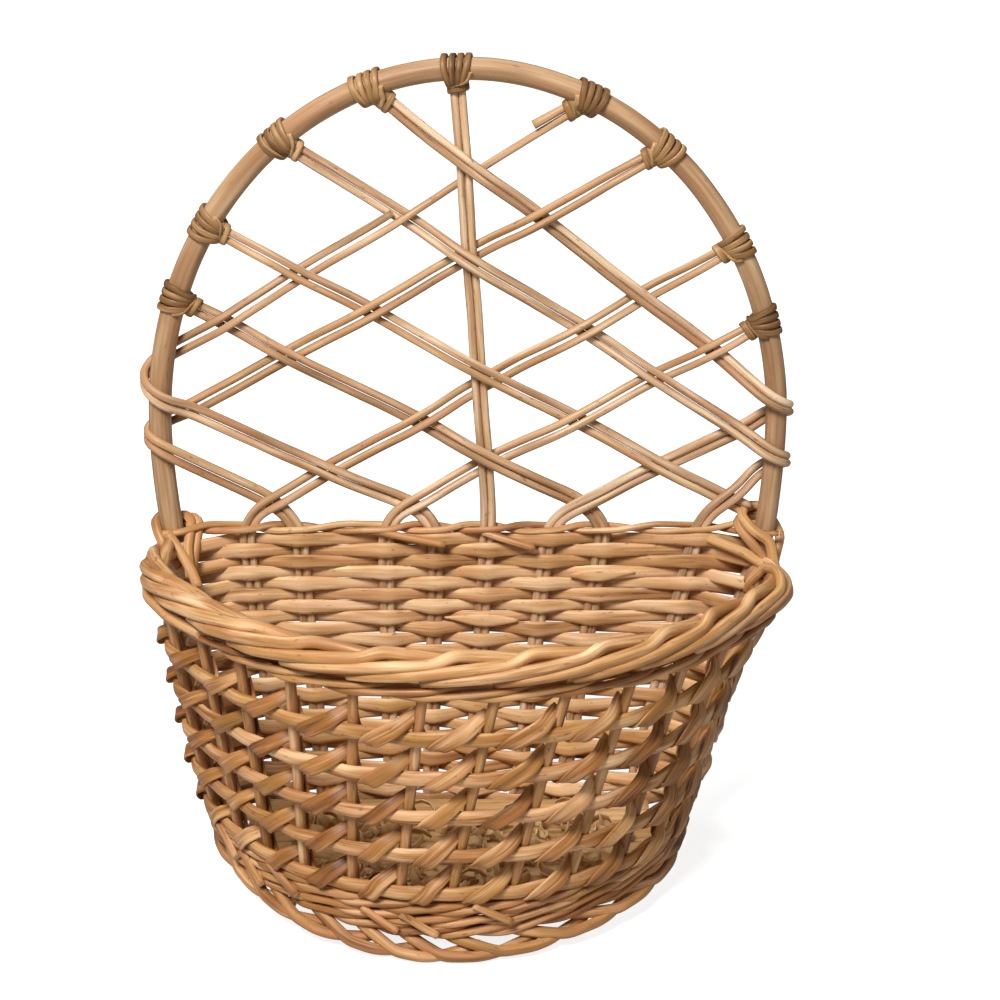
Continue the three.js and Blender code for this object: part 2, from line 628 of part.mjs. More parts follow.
// Front stakes: each runs from its foot tail up through the rows and over into the border, which goes left.
// Border and foot tails, half a stake spacing to each key: out and up, in rod spacings.
const borderKeys = [[0, 0], [-0.5, 0.3], [-1.05, 0.75], [0, 1.55], [1.04, 0.9], [1.28, 0.33], [1.3, -0.25],
  [1.25, -0.8], [1.2, -1.35], [1.17, -1.4]];
const footKeys = [[0, 0], [0.35, -0.75], [1.02, -1.45], [0.9, -2.15], [0.3, -2.58], [0.25, -2.58]];
function keyed(keys, u) {
  const i = Math.min(Math.floor(u * 2), keys.length - 2);
  const f = u * 2 - i;
  return [lerp(keys[i][0], keys[i + 1][0], f), lerp(keys[i][1], keys[i + 1][1], f)];
}
function borderPoint(s, u) {
  const [out, lift] = keyed(borderKeys, u);
  return onWall(s - u * stakeSpan, out * rodStep, rimHeight + lift * rodStep);
}
const stakeShape = roundSection(stakeRadius, 5);
const footDrop = shaftFoot - stakeRadius; // from the shaft's end to the lowest tail
const footUnit = footDrop / -footKeys[footKeys.length - 1][1];
for (let k = 0; k < stakeCount; k += 1) {
  const s = cornerGap + k * stakeSpan;
  const legRoom = legClear + stripThick / 2 + stakeRadius + 2 * seat;
  const points = [];
  const footEnd = Math.min(footRun, (arcLength - s - legRoom - 2) / stakeSpan);
  for (let u = footEnd; u > footStep; u -= footStep) {
    const [out, down] = keyed(footKeys, u);
    const z = shaftFoot + down * footUnit;
    points.push(onWall(leanAt(s + u * stakeSpan, z), out * rodStep, z));
  }
  [0, 0.33, 0.66, 0.97].forEach((f) => {
    const z = lerp(shaftFoot, rimHeight, f);
    points.push(onWall(stakeAt(k, z), 0, z));
  });
  const sizes = points.map(() => 1);
  const tailEnd = Math.min(borderRun, (s - legRoom) / stakeSpan);
  const steps = Math.max(Math.round(tailEnd / borderStep), 2);
  for (let i = 0; i <= steps; i += 1) {
    const u = lerp(0.06, tailEnd, i / steps);
    points.push(borderPoint(s, u));
    sizes.push(1 - tailTaper * Math.max(u - 1, 0) / (borderRun - 1));
  }
  const size = (f) => sizes[Math.round(f * (points.length - 1))];
  add(`stake_${k + 1}`, sweep(points, stakeShape, { size }), colours.stake);
}

// Hooks round the two hoop legs. The right one's ends are the first two strands of the border,
// the left one lies on top of it.
[-1, 1].forEach((side) => {
  const lift = side > 0 ? startLift : hookLift;
  const z = rimHeight + lift * rodStep;
  const clear = (hoopRadius + stakeRadius + seat) / Math.cos(rad(22.5));
  const lie = (out) => [1, 0.66, 0.33].map((f) => onWall(hookRun * f, out * rodStep, z));
  const strand = (behind) => {
    const points = [];
    for (let u = borderRun; u > behind - 0.1; u -= borderStep) {
      points.push(borderPoint(arcLength - cornerGap + behind * stakeSpan, u));
    }
    return points;
  };
  const outer = side > 0 ? strand(2) : lie(hookOut);
  const inner = side > 0 ? strand(1) : lie(-hookOut);
  const bend = [0, 45, 90, 135, 180].map((a) =>
    V3(hoopX(side, z) + side * clear * Math.cos(rad(a)), clear * Math.sin(rad(a)), z));
  const path = [...outer, ...bend, ...inner.reverse()];
  add(side < 0 ? 'border_hook_left' : 'border_hook_right', sweep(path, stakeShape), colours.hook);
});

// Base: flat slats across, on round runners.
const slatZ = waleStart - slatThick;
const inset = waleClear + waleSection.thick / 2 + seat;
const baseHalf = planHalf(slatZ) - inset;
const baseDepth = planDepth(slatZ) - inset;
const baseBack = pairClear + stripThick / 2 + 2 * seat;
const slatPitch = (baseDepth - slatShort - baseBack) / slatCount;
const halfAt = (y) => baseHalf * Math.max(1 - (y / baseDepth) ** planPower, 0) ** (1 / planPower);
for (let i = 0; i < slatCount; i += 1) {
  const back = baseBack + i * slatPitch;
  const depths = [0, 0.25, 0.5, 0.75, 1].map((f) => back + f * (slatPitch - slatGap));
  const half = (y) => Math.min(halfAt(y), baseHalf - hoopRadius - slatShort);
  const right = depths.map((y) => V2(planShift(slatZ) + half(y), -y));
  const left = depths.map((y) => V2(planShift(slatZ) - half(y), -y)).reverse();
  const outline = new THREE.Shape([...right, ...left]);
  const slat = new THREE.ExtrudeGeometry(outline, { depth: slatThick, bevelEnabled: false });
  add(`base_slat_${i + 1}`, slat.translate(0, 0, slatZ), colours.slat);
}
for (let i = 0; i < runnerCount; i += 1) {
  const x = baseHalf * lerp(-runnerSpread, runnerSpread, i / (runnerCount - 1));
  const front = baseDepth * (1 - Math.abs(x / baseHalf) ** planPower) ** (1 / planPower) - runnerShort;
  const z = slatZ - runnerRadius - seat;
  const points = [baseBack, front].map((y) => V3(planShift(slatZ) + x, -y, z));
  add(`base_runner_${i + 1}`, sweep(points, roundSection(runnerRadius, 6), { up: zAxis }), colours.runner);
}

// The origin is the middle of the foot: centred across and in depth, floor at zero.
const box = new THREE.Box3().setFromObject(shifted);
const middle = box.getCenter(V3(0, 0, 0));
shifted.position.set(-middle.x, -middle.y, -box.min.z);

export default root;
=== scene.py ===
import bisect
import json
import math
import random

import bpy
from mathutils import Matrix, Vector


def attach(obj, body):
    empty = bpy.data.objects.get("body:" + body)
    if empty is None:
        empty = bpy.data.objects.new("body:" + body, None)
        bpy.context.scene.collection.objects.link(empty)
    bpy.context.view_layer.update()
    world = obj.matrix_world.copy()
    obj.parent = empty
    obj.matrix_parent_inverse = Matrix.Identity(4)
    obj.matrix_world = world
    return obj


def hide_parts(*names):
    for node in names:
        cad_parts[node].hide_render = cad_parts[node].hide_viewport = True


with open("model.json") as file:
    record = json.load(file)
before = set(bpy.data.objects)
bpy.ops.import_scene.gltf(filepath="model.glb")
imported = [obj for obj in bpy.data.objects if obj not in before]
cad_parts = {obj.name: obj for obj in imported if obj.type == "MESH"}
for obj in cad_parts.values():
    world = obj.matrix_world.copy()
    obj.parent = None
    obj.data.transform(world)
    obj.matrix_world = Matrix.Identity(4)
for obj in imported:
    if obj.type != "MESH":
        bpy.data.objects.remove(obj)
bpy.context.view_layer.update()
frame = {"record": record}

# Basket body in millimetres from the hoop's plane and the floor, as the frame was drawn
body = {
    "rimHeight": 150.0,
    "rimHalf": 137.0,
    "rimDepth": 148.0,
    "footHalf": 106.0,
    "footDepth": 120.0,
    "footShift": -8.0,  # the foot stands this far to the left
    "planPower": 2.1,  # 2 is an ellipse
    "overRim": 1.08,  # the wall's taper runs on up to this share of the rim's height
    "seat": 0.35,  # gap between bearing rods
    "backRise": 9.0,  # the lattice leaves the back wall above the rim by this
    "legUpright": 8.0,  # below this the legs stand straight
    # height, then how far the front wall swells beside the left leg and beside the right one
    "bulges": [(0, 0, -2.0), (40, 5.2, -4.2), (60, 7.0, -4.0), (112, 7.2, -1.0), (134, 7.3, 9.5),
               (150, 7.5, 9.5)],
    "bulgeAt": 46.0,  # along the wall from the leg
    "bulgeReach": 30.0,
    "footLift": 11.0,  # the foot curves up this far at its sides
    "footRound": 4,  # a higher power keeps the lift to the sides
    "legLift": 0.5,  # share of the lift left at the legs
    "legReach": 0.13,  # share of the border where it is whole again
    "rimDip": 8.0,  # the rim sinks this far at the right leg
    "rimReach": 120.0,
}
hoopLook = {
    "radius": 5.4,
    "taper": 0.13,
    "half": 140.5,
    "spring": 205.0,
    "rise": 163.0,
    "feet": [0.8, 4, 8],  # heights of a leg's first stations
    "legSteps": 24,
    "archSteps": 90,
    "uneven": (0.985, 1.015),
    "sweep": {"Step": 0.003, "Sides": 24, "Wander": 0.0012, "Seed": 3},
}
stakeLook = {
    "count": 14,
    "radius": 2.2,
    "wide": 4.8,
    "lean": 11.0,  # how far the feet stand to the left of the rim's places at the front
    "rightLean": 9.5,  # and this much more right of the middle
    "rightFrom": (0.4, 0.535),  # shares of the border where that begins and where it ends
    "rightTo": (0.95, 0.78),
    "foot": 13.3,  # a shaft begins at this height
    "top": 0.97,  # and ends this share of the way from there to the rim
    "shaftSteps": 16,
    "cornerGap": 23.3,
    "uneven": (0.97, 1.04),
    "slip": 0.15,  # of a stake's tone, and of its foot tail in spans
    "tones": {"foot": 0.45, "shaft": 0.38, "border": 0.6},
    "sweep": {"Wander": 0.0011, "Seed": 100},
}
mm = 0.001  # in metres
wallEnd = 0.01  # places on the wall keep this far from its two ends
wallProbe = 0.004  # radians either side, for the wall's direction
zAxis = Vector((0, 0, 1))
yAxis = Vector((0, 1, 0))


def lerp(a, b, f):
    return a + (b - a) * f


def clamp(value, low, high):
    return min(max(value, low), high)


def ramp(value, low, high):
    return clamp((value - low) / (high - low), 0, 1)


def keyed(keys, u):  # two values between the keys either side of u
    for (u0, a0, b0), (u1, a1, b1) in zip(keys, keys[1:]):
        if u <= u1:
            break
    f = clamp((u - u0) / (u1 - u0), 0, 1)
    return lerp(a0, a1, f), lerp(b0, b1, f)


def vec(x, y, z):
    return Vector((x, y, z))


# Plan of the front wall
def rise(z):
    return min(z / body["rimHeight"], body["overRim"])


def planHalf(z):
    return lerp(body["footHalf"], body["rimHalf"], rise(z))


def planDepth(z):
    return lerp(body["footDepth"], body["rimDepth"], rise(z))


def planShift(z):
    return lerp(body["footShift"], 0, min(rise(z), 1))


def bow(c):
    return math.copysign(abs(c) ** (2 / body["planPower"]), c)


def planPoint(angle, z):
    x = planShift(z) - planHalf(z) * bow(math.cos(angle))
    return vec(x, -planDepth(z) * bow(math.sin(angle)), z)


arcSteps = 720
arcTable = [0.0]
for i in range(1, arcSteps + 1):
    a = planPoint(math.pi * (i - 1) / arcSteps, body["rimHeight"])
    b = planPoint(math.pi * i / arcSteps, body["rimHeight"])
    arcTable.append(arcTable[-1] + (b - a).length)
arcLength = arcTable[-1]


def arcAngle(s):
    i = clamp(bisect.bisect_right(arcTable, s), 1, arcSteps)
    part = (s - arcTable[i - 1]) / (arcTable[i] - arcTable[i - 1])
    return math.pi * (i - 1 + part) / arcSteps


def sideBulge(s, z):
    near = (min(s, arcLength - s) - body["bulgeAt"]) / body["bulgeReach"]
    left, right = keyed(body["bulges"], z)
    return (left if s < arcLength / 2 else right) * math.exp(-near * near)


def footLift(s):
    share = clamp(s / arcLength, 0, 1)
    whole = lerp(body["legLift"], 1, ramp(min(share, 1 - share), 0, body["legReach"]))
    return body["footLift"] * whole * (1 - math.sin(math.pi * share) ** body["footRound"])


def rimDip(s):
    fromLeg = max(arcLength - s, 0) / body["rimReach"]
    return body["rimDip"] * math.exp(-fromLeg * fromLeg)


def onWall(s, out, z):  # s along the border from the left leg, out from the stakes
    angle = arcAngle(clamp(s, wallEnd, arcLength - wallEnd))
    along = (planPoint(angle + wallProbe, z) - planPoint(angle - wallProbe, z)).normalized()
    return planPoint(angle, z) + vec(along.y, -along.x, 0) * (out + sideBulge(s, z))


stakeSpan = (arcLength - 2 * stakeLook["cornerGap"]) / (stakeLook["count"] - 1)


def leanAt(s, z):
    share = s / arcLength
    more = ramp(share, *stakeLook["rightFrom"]) * ramp(share, *stakeLook["rightTo"])
    lean = stakeLook["lean"] * math.sin(math.pi * share) ** 2 + stakeLook["rightLean"] * more
    return s - lean * (1 - min(rise(z), 1))


def stakePlace(k):
    return stakeLook["cornerGap"] + k * stakeSpan


def legX(side, z):
    z = clamp(z, body["legUpright"], body["rimHeight"])
    return planShift(z) + side * planHalf(z)


def hoopX(side, z):
    if z < body["rimHeight"]:
        return legX(side, z)
    part = ramp(z, body["rimHeight"], hoopLook["spring"])
    return side * lerp(body["rimHalf"], hoopLook["half"], math.sin(part * math.pi / 2))


# Where the drawing's origin stands in the frame, from the mount under the left foot
footMount = next(m for m in frame["record"]["mounts"] if m["name"] == "foot_rest")
shift = Vector(footMount["pos_m"]) / mm - vec(legX(-1, 0), 0, 0)


def metres(p):
    return (p + shift) * mm


# Strands: a line of stations with a width, a thickness and an outward face at each
def evenly(points, columns, spacing):
    travel = [0.0]
    for a, b in zip(points, points[1:]):
        travel.append(travel[-1] + (b - a).length)
    count = max(3, math.ceil(travel[-1] / spacing))
    newPoints = []
    newColumns = {key: [] for key in columns}
    for n in range(count + 1):
        s = travel[-1] * n / count
        i = clamp(bisect.bisect_right(travel, s) - 1, 0, len(points) - 2)
        f = (s - travel[i]) / max(travel[i + 1] - travel[i], 1e-6)
        newPoints.append(points[i].lerp(points[i + 1], f))
        for key, values in columns.items():
            newColumns[key].append(values[i] + (values[i + 1] - values[i]) * f)
    return newPoints, newColumns


def softened(values, passes):
    for _ in range(passes):
        middle = [(a + b * 2 + c) / 4 for a, b, c in zip(values, values[1:], values[2:])]
        values = [values[0], *middle, values[-1]]
    return values


faceTurn = 0.8  # lines closer to the y axis than this start from the z axis


def carriedFaces(points):  # turned as little as the line allows
    faces = []
    face = None
    for i in range(len(points)):
        ahead = points[min(i + 1, len(points) - 1)] - points[max(i - 1, 0)]
        t = ahead.normalized()
        if face is None:
            face = yAxis if abs(t.y) < faceTurn else zAxis
        face = (face - t * face.dot(t)).normalized()
        faces.append(face)
    return faces


grainDice = random.Random(5)


def strand(points, wide, thick=None, faces=None, tone=0.5, loose=1.0, squared=0.0, split=0.0,
           spacing=3.0, soft=2):
    count = len(points)
    listed = lambda value: value if isinstance(value, list) else [value] * count
    columns = {"wide": listed(wide), "thick": listed(wide if thick is None else thick),
               "tone": listed(tone), "loose": listed(loose)}
    if faces:
        columns["face"] = faces
    points, columns = evenly(points, columns, spacing)
    points = softened(points, soft)
    for key in columns:
        columns[key] = softened(columns[key], soft)
    if not faces:
        columns["face"] = carriedFaces(points)
    own = grainDice.random()
    for key, value in (("squared", squared), ("split", split), ("own", own)):
        columns[key] = [value] * len(points)
    return {"points": points, "columns": columns}


# Node helpers
def addNode(tree, kind, inputs=None, **settings):
    node = tree.nodes.new(kind)
    for key, value in settings.items():
        setattr(node, key, value)
    for key, value in (inputs or {}).items():
        if isinstance(value, bpy.types.NodeSocket):
            tree.links.new(value, node.inputs[key])
        else:
            node.inputs[key].default_value = value
    return node


def vectorMath(tree, operation, a, b=None):
    inputs = {0: a}
    if b is not None:
        inputs["Scale" if operation == "SCALE" else 1] = b
    node = addNode(tree, "ShaderNodeVectorMath", inputs, operation=operation)
    return node.outputs["Value" if operation in ("DOT_PRODUCT", "LENGTH") else "Vector"]


def maths(tree, operation, *values):
    node = addNode(tree, "ShaderNodeMath", dict(enumerate(values)), operation=operation)
    return node.outputs[0]


def named(tree, name, kind="FLOAT"):
    node = addNode(tree, "GeometryNodeInputNamedAttribute", {"Name": name}, data_type=kind)
    return node.outputs["Attribute"]


def stored(tree, geometry, name, value, kind="FLOAT", domain="POINT"):
    node = addNode(tree, "GeometryNodeStoreNamedAttribute",
                   {"Geometry": geometry, "Name": name, "Value": value},
                   data_type=kind, domain=domain)
    return node.outputs["Geometry"]


# One tree sweeps a section along every strand of a piece
rodInputs = {
    "Geometry": "NodeSocketGeometry",
    "Step": "NodeSocketFloat",
    "Sides": "NodeSocketInt",
    "Wander": "NodeSocketFloat",
    "Wander Scale": "NodeSocketFloat",
    "Seed": "NodeSocketInt",
    "Material": "NodeSocketMaterial",
}
rodLook = {
    "squaring": -0.6,  # what a squared strand takes off the section's power
    "splitting": -0.7,  # and a split one off its back
    "endOn": 0.85,  # faces turned along the strand by more than this are cut ends
    "sweep": {"Step": 0.0022, "Sides": 10, "Wander": 0.0, "Wander Scale": 26.0},
}


def rodSection(tree, ring):  # a round section, squared or flattened behind by the strand's attributes
    place = addNode(tree, "ShaderNodeSeparateXYZ", {"Vector": ring})
    power = maths(tree, "MULTIPLY_ADD", named(tree, "squared"), rodLook["squaring"], 1.0)
    across = []
    for axis in ("X", "Y"):
        size = maths(tree, "POWER", maths(tree, "ABSOLUTE", place.outputs[axis]), power)
        across.append(maths(tree, "MULTIPLY", size, maths(tree, "SIGN", place.outputs[axis])))
    behind = maths(tree, "LESS_THAN", across[1], 0.0)
    cutBack = maths(tree, "MULTIPLY", behind, named(tree, "split"))
    kept = maths(tree, "MULTIPLY_ADD", cutBack, rodLook["splitting"], 1.0)
    across[1] = maths(tree, "MULTIPLY", across[1], kept)
    halves = [maths(tree, "MULTIPLY", named(tree, size), 0.5) for size in ("wide", "thick")]
    return [maths(tree, "MULTIPLY", share, half) for share, half in zip(across, halves)]


def makeRodTree():
    tree = bpy.data.node_groups.new("sweptRod", "GeometryNodeTree")
    for name, kind in rodInputs.items():
        tree.interface.new_socket(name, in_out="INPUT", socket_type=kind)
    tree.interface.new_socket("Geometry", in_out="OUTPUT", socket_type="NodeSocketGeometry")
    given = tree.nodes.new("NodeGroupInput").outputs
    vectorNamed = lambda name: named(tree, name, "FLOAT_VECTOR")
    curve = addNode(tree, "GeometryNodeMeshToCurve", {"Mesh": given["Geometry"]})
    curve = addNode(tree, "GeometryNodeCurveSplineType", {"Curve": curve.outputs["Curve"]},
                    spline_type="CATMULL_ROM")
    curve = addNode(tree, "GeometryNodeResampleCurve",
                    {"Curve": curve.outputs["Curve"], "Length": given["Step"]}, mode="LENGTH")
    place = addNode(tree, "GeometryNodeInputPosition").outputs["Position"]
    noise = addNode(tree, "ShaderNodeTexNoise",
                    {"Vector": place, "W": given["Seed"], "Scale": given["Wander Scale"], "Detail": 1.0},
                    noise_dimensions="4D")
    sway = vectorMath(tree, "SUBTRACT", noise.outputs["Color"], (0.5, 0.5, 0.5))
    swayed = maths(tree, "MULTIPLY", given["Wander"], named(tree, "loose"))
    rail = addNode(tree, "GeometryNodeSetPosition",
                   {"Geometry": curve.outputs["Curve"], "Offset": vectorMath(tree, "SCALE", sway, swayed)})
    rail = rail.outputs["Geometry"]
    heading = addNode(tree, "GeometryNodeInputTangent").outputs["Tangent"]
    side = vectorMath(tree, "CROSS_PRODUCT", heading, vectorNamed("face"))
    side = vectorMath(tree, "NORMALIZE", side)
    up = vectorMath(tree, "CROSS_PRODUCT", side, heading)
    # what the section needs from the rail is stored on it, and carried over to the swept mesh
    for name, value in (("railCentre", place), ("railSide", side), ("railUp", up), ("railHeading", heading)):
        rail = stored(tree, rail, name, value, "FLOAT_VECTOR")
    rail = stored(tree, rail, "railAlong", addNode(tree, "GeometryNodeSplineParameter").outputs["Length"])
    ring = addNode(tree, "GeometryNodeCurvePrimitiveCircle", {"Resolution": given["Sides"], "Radius": 1.0})
    ring = stored(tree, ring.outputs["Curve"], "ringPlace", place, "FLOAT_VECTOR")
    swept = addNode(tree, "GeometryNodeCurveToMesh",
                    {"Curve": rail, "Profile Curve": ring, "Fill Caps": True})
    halfWide, halfThick = rodSection(tree, vectorNamed("ringPlace"))
    spot = vectorNamed("railCentre")
    for axis, half in (("railSide", halfWide), ("railUp", halfThick)):
        spot = vectorMath(tree, "ADD", spot, vectorMath(tree, "SCALE", vectorNamed(axis), half))
    shaped = addNode(tree, "GeometryNodeSetPosition", {"Geometry": swept.outputs["Mesh"], "Position": spot})
    fibres = addNode(tree, "ShaderNodeCombineXYZ",
                     {"X": halfWide, "Y": halfThick, "Z": named(tree, "railAlong")})
    shaped = stored(tree, shaped.outputs["Geometry"], "grain", fibres.outputs["Vector"], "FLOAT_VECTOR")
    facing = addNode(tree, "GeometryNodeInputNormal").outputs["Normal"]
    endOn = vectorMath(tree, "DOT_PRODUCT", facing, vectorNamed("railHeading"))
    cut = maths(tree, "GREATER_THAN", maths(tree, "ABSOLUTE", endOn), rodLook["endOn"])
    shaped = stored(tree, shaped, "cut", cut, domain="FACE")
    uncut = maths(tree, "LESS_THAN", named(tree, "cut"), 0.5)
    shaped = addNode(tree, "GeometryNodeSetShadeSmooth", {"Geometry": shaped, "Shade Smooth": uncut})
    shaped = addNode(tree, "GeometryNodeRealizeInstances", {"Geometry": shaped.outputs["Geometry"]})
    shaped = addNode(tree, "GeometryNodeSetMaterial",
                     {"Geometry": shaped.outputs["Geometry"], "Material": given["Material"]})
    ended = tree.nodes.new("NodeGroupOutput")
    tree.links.new(shaped.outputs["Geometry"], ended.inputs["Geometry"])
    return tree


rodTree = makeRodTree()
rodKeys = {item.name: item.identifier for item in rodTree.interface.items_tree if item.in_out == "INPUT"}
keptAttributes = {"position", "tone", "own", "grain", "cut", "sharp_face", "material_index"}


def guideMesh(name, strands):
    vertices = []
    edges = []
    columns = {key: [] for key in ("wide", "thick", "tone", "loose", "squared", "split", "own", "face")}
    for made in strands:
        first = len(vertices)
        vertices += [metres(p) for p in made["points"]]
        edges += [(i, i + 1) for i in range(first, len(vertices) - 1)]
        for key, values in made["columns"].items():
            scale = mm if key in ("wide", "thick") else 1.0
            columns[key] += [value * scale for value in values]
    mesh = bpy.data.meshes.new(name + "Guide")
    mesh.from_pydata(vertices, edges, [])
    for key, values in columns.items():
        if key == "face":
            data = mesh.attributes.new(key, "FLOAT_VECTOR", "POINT").data
            data.foreach_set("vector", [c for value in values for c in value])
        else:
            mesh.attributes.new(key, "FLOAT", "POINT").data.foreach_set("value", values)
    return mesh


def signedVolume(mesh):
    total = 0.0
    for face in mesh.polygons:
        corners = [mesh.vertices[i].co for i in face.vertices]
        for b, c in zip(corners[1:], corners[2:]):
            total += corners[0].dot(b.cross(c))
    return total


def pieceName(node):
    first, *others = node.split("_")
    return first + "".join(word[0].upper() + word[1:] for word in others)


def makePiece(node, strands, slot, sweep, order=0, name=None):
    name = name or pieceName(node)
    guide = guideMesh(name, strands)
    piece = bpy.data.objects.new(name, guide)
    bpy.context.scene.collection.objects.link(piece)
    sweeper = piece.modifiers.new("sweptRod", "NODES")
    sweeper.node_group = rodTree
    values = rodLook["sweep"] | sweep | {"Seed": sweep["Seed"] + order, "Material": finishes[slot]}
    for key, value in values.items():
        sweeper[rodKeys[key]] = value
    depsgraph = bpy.context.evaluated_depsgraph_get()
    mesh = bpy.data.meshes.new_from_object(
        piece.evaluated_get(depsgraph), preserve_all_data_layers=True, depsgraph=depsgraph)
    piece.modifiers.remove(sweeper)
    piece.data = mesh
    mesh.name = name
    bpy.data.meshes.remove(guide)
    spare = [a.name for a in mesh.attributes if a.name not in keptAttributes and a.name[0] != "."]
    for attribute in spare:
        mesh.attributes.remove(mesh.attributes[attribute])
    if signedVolume(mesh) < 0:
        mesh.flip_normals()
    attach(piece, "root")
    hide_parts(node)


# Materials: one willow shader with its own colours for each kind of piece
def tint(r, g, b):
    linear = [((c / 255 + 0.055) / 1.055) ** 2.4 for c in (r, g, b)]
    return (*linear, 1.0)


def mixed(tree, factor, a, b):
    node = addNode(tree, "ShaderNodeMix", {0: factor, 6: a, 7: b}, data_type="RGBA")
    return node.outputs[2]


def ranged(tree, value, fromLow, fromHigh, toLow, toHigh):
    node = addNode(tree, "ShaderNodeMapRange", {
        "Value": value, "From Min": fromLow, "From Max": fromHigh, "To Min": toLow, "To Max": toHigh})
    return node.outputs["Result"]


def attributeOf(tree, name, output):
    return addNode(tree, "ShaderNodeAttribute", attribute_name=name).outputs[output]


def noiseAt(tree, spot, detail, roughness=0.5):
    node = addNode(tree, "ShaderNodeTexNoise",
                   {"Vector": spot, "Scale": 1.0, "Detail": detail, "Roughness": roughness})
    return node.outputs


grain = {
    "stretch": 0.03,  # along a strand, against across it
    "apart": (173.0, 91.0, 57.0),  # moves the pattern on from strand to strand
    "patch": (0.22, 0.22, 0.8),  # blotches, against the fibres
    "scar": (0.6, 0.6, 6.0),
    "patchShare": 0.6,
    "fibreShare": 0.4,
    "band": 0.2,  # from the middle shade to the dark one and the pale one
    "blush": (0.48, 0.68),  # where each colour begins and is whole
    "gold": (0.35, 1.0),
    "scarred": (0.66, 0.74),
    "cut": 0.8,
    "ridges": (0.3, 0.7),
    "rough": (0.1, -0.07),  # more in the troughs, less on the ridges
    "relief": 0.0004,
}


def willow(name, look):
    material = bpy.data.materials.new(name)
    material.use_nodes = True
    tree = material.node_tree
    shader = tree.nodes["Principled BSDF"]
    own = attributeOf(tree, "own", "Fac")
    size = (look["fibre"], look["fibre"], look["fibre"] * grain["stretch"])
    spot = vectorMath(tree, "MULTIPLY", attributeOf(tree, "grain", "Vector"), size)
    spot = vectorMath(tree, "ADD", spot, vectorMath(tree, "SCALE", grain["apart"], own))
    fibre = noiseAt(tree, spot, detail=4.0, roughness=0.62)["Fac"]
    patch = noiseAt(tree, vectorMath(tree, "MULTIPLY", spot, grain["patch"]), detail=2.0)
    scar = noiseAt(tree, vectorMath(tree, "MULTIPLY", spot, grain["scar"]), detail=2.0)["Fac"]
    shade = maths(tree, "MULTIPLY", patch["Fac"], grain["patchShare"])
    shade = maths(tree, "MULTIPLY_ADD", fibre, grain["fibreShare"], shade)
    shade = maths(tree, "MULTIPLY_ADD", attributeOf(tree, "tone", "Fac"), look["spread"], shade)
    shades = addNode(tree, "ShaderNodeValToRGB", {"Fac": shade})
    middle = 0.5 + look["spread"] / 2
    dark, pale = shades.color_ramp.elements
    dark.position = middle - grain["band"]
    dark.color = tint(*look["dark"])
    pale.position = middle + grain["band"]
    pale.color = tint(*look["pale"])
    shades.color_ramp.elements.new(middle).color = tint(*look["mid"])
    green = addNode(tree, "ShaderNodeSeparateColor", {"Color": patch["Color"]}).outputs["Green"]
    cut = maths(tree, "MULTIPLY", attributeOf(tree, "cut", "Fac"), grain["cut"])
    colour = shades.outputs["Color"]
    for share, over in (
        (ranged(tree, own, *grain["gold"], 0.0, look["golden"]), "gold"),
        (ranged(tree, green, *grain["blush"], 0.0, look["blushing"]), "blush"),
        (ranged(tree, scar, *grain["scarred"], 0.0, look["scars"]), "scar"),
        (cut, "end"),
    ):
        colour = mixed(tree, share, colour, tint(*look[over]))
    tree.links.new(colour, shader.inputs["Base Color"])
    rough = ranged(tree, fibre, *grain["ridges"], *[look["rough"] + more for more in grain["rough"]])
    tree.links.new(rough, shader.inputs["Roughness"])
    shader.inputs["Specular IOR Level"].default_value = look["gloss"]
    bump = addNode(tree, "ShaderNodeBump",
                   {"Height": fibre, "Strength": look["bump"], "Distance": grain["relief"]})
    tree.links.new(bump.outputs["Normal"], shader.inputs["Normal"])
    return material


plainLook = {"gold": (206, 156, 84), "golden": 0.4, "blushing": 0.5, "scar": (84, 50, 24), "scars": 0.55,
             "end": (236, 204, 160), "fibre": 1100.0, "spread": 0.3, "rough": 0.46, "gloss": 0.34,
             "bump": 0.35}
looks = {
    "cane": {"dark": (126, 90, 56), "mid": (174, 135, 97), "pale": (216, 183, 144), "blush": (172, 121, 82),
             "golden": 0.0, "rough": 0.44, "fibre": 700.0, "bump": 0.2, "scars": 0.3, "spread": 0.12},
    "lattice_rod": {"dark": (122, 88, 56), "mid": (188, 148, 110), "pale": (240, 212, 176),
                    "blush": (186, 128, 90), "golden": 0.25},
    "lashing": {"dark": (66, 38, 16), "mid": (138, 100, 60), "pale": (206, 166, 118), "blush": (138, 88, 46),
                "golden": 0.15},
    "back_weaver": {"dark": (130, 80, 35), "mid": (211, 160, 107), "pale": (252, 214, 168),
                    "blush": (208, 148, 104)},
    "stake": {"dark": (94, 50, 16), "mid": (182, 130, 81), "pale": (251, 211, 162), "blush": (188, 120, 74)},
    "front_weaver": {"dark": (70, 32, 2), "mid": (160, 104, 50), "pale": (236, 190, 140),
                     "blush": (176, 112, 64), "golden": 0.26},
    "wale": {"dark": (80, 40, 10), "mid": (160, 106, 60), "pale": (231, 183, 136), "blush": (176, 104, 54)},
    "border_rod": {"dark": (96, 52, 18), "mid": (181, 129, 81), "pale": (249, 208, 160),
                   "blush": (188, 122, 78)},
    "base_slat": {"dark": (160, 122, 74), "mid": (204, 164, 110), "pale": (230, 196, 144),
                  "blush": (196, 148, 94), "golden": 0.0, "fibre": 600.0, "bump": 0.2},
    "base_runner": {"dark": (124, 86, 48), "mid": (176, 136, 90), "pale": (216, 180, 132),
                    "blush": (178, 124, 76)},
}
finishes = {slot: willow(slot, plainLook | look) for slot, look in looks.items()}
print("materials", len(finishes))

# Hoop
dice = random.Random(11)


def archPoint(angle):
    x = hoopLook["half"] * math.cos(angle)
    return Vector((x, hoopLook["spring"] + hoopLook["rise"] * math.sin(angle)))


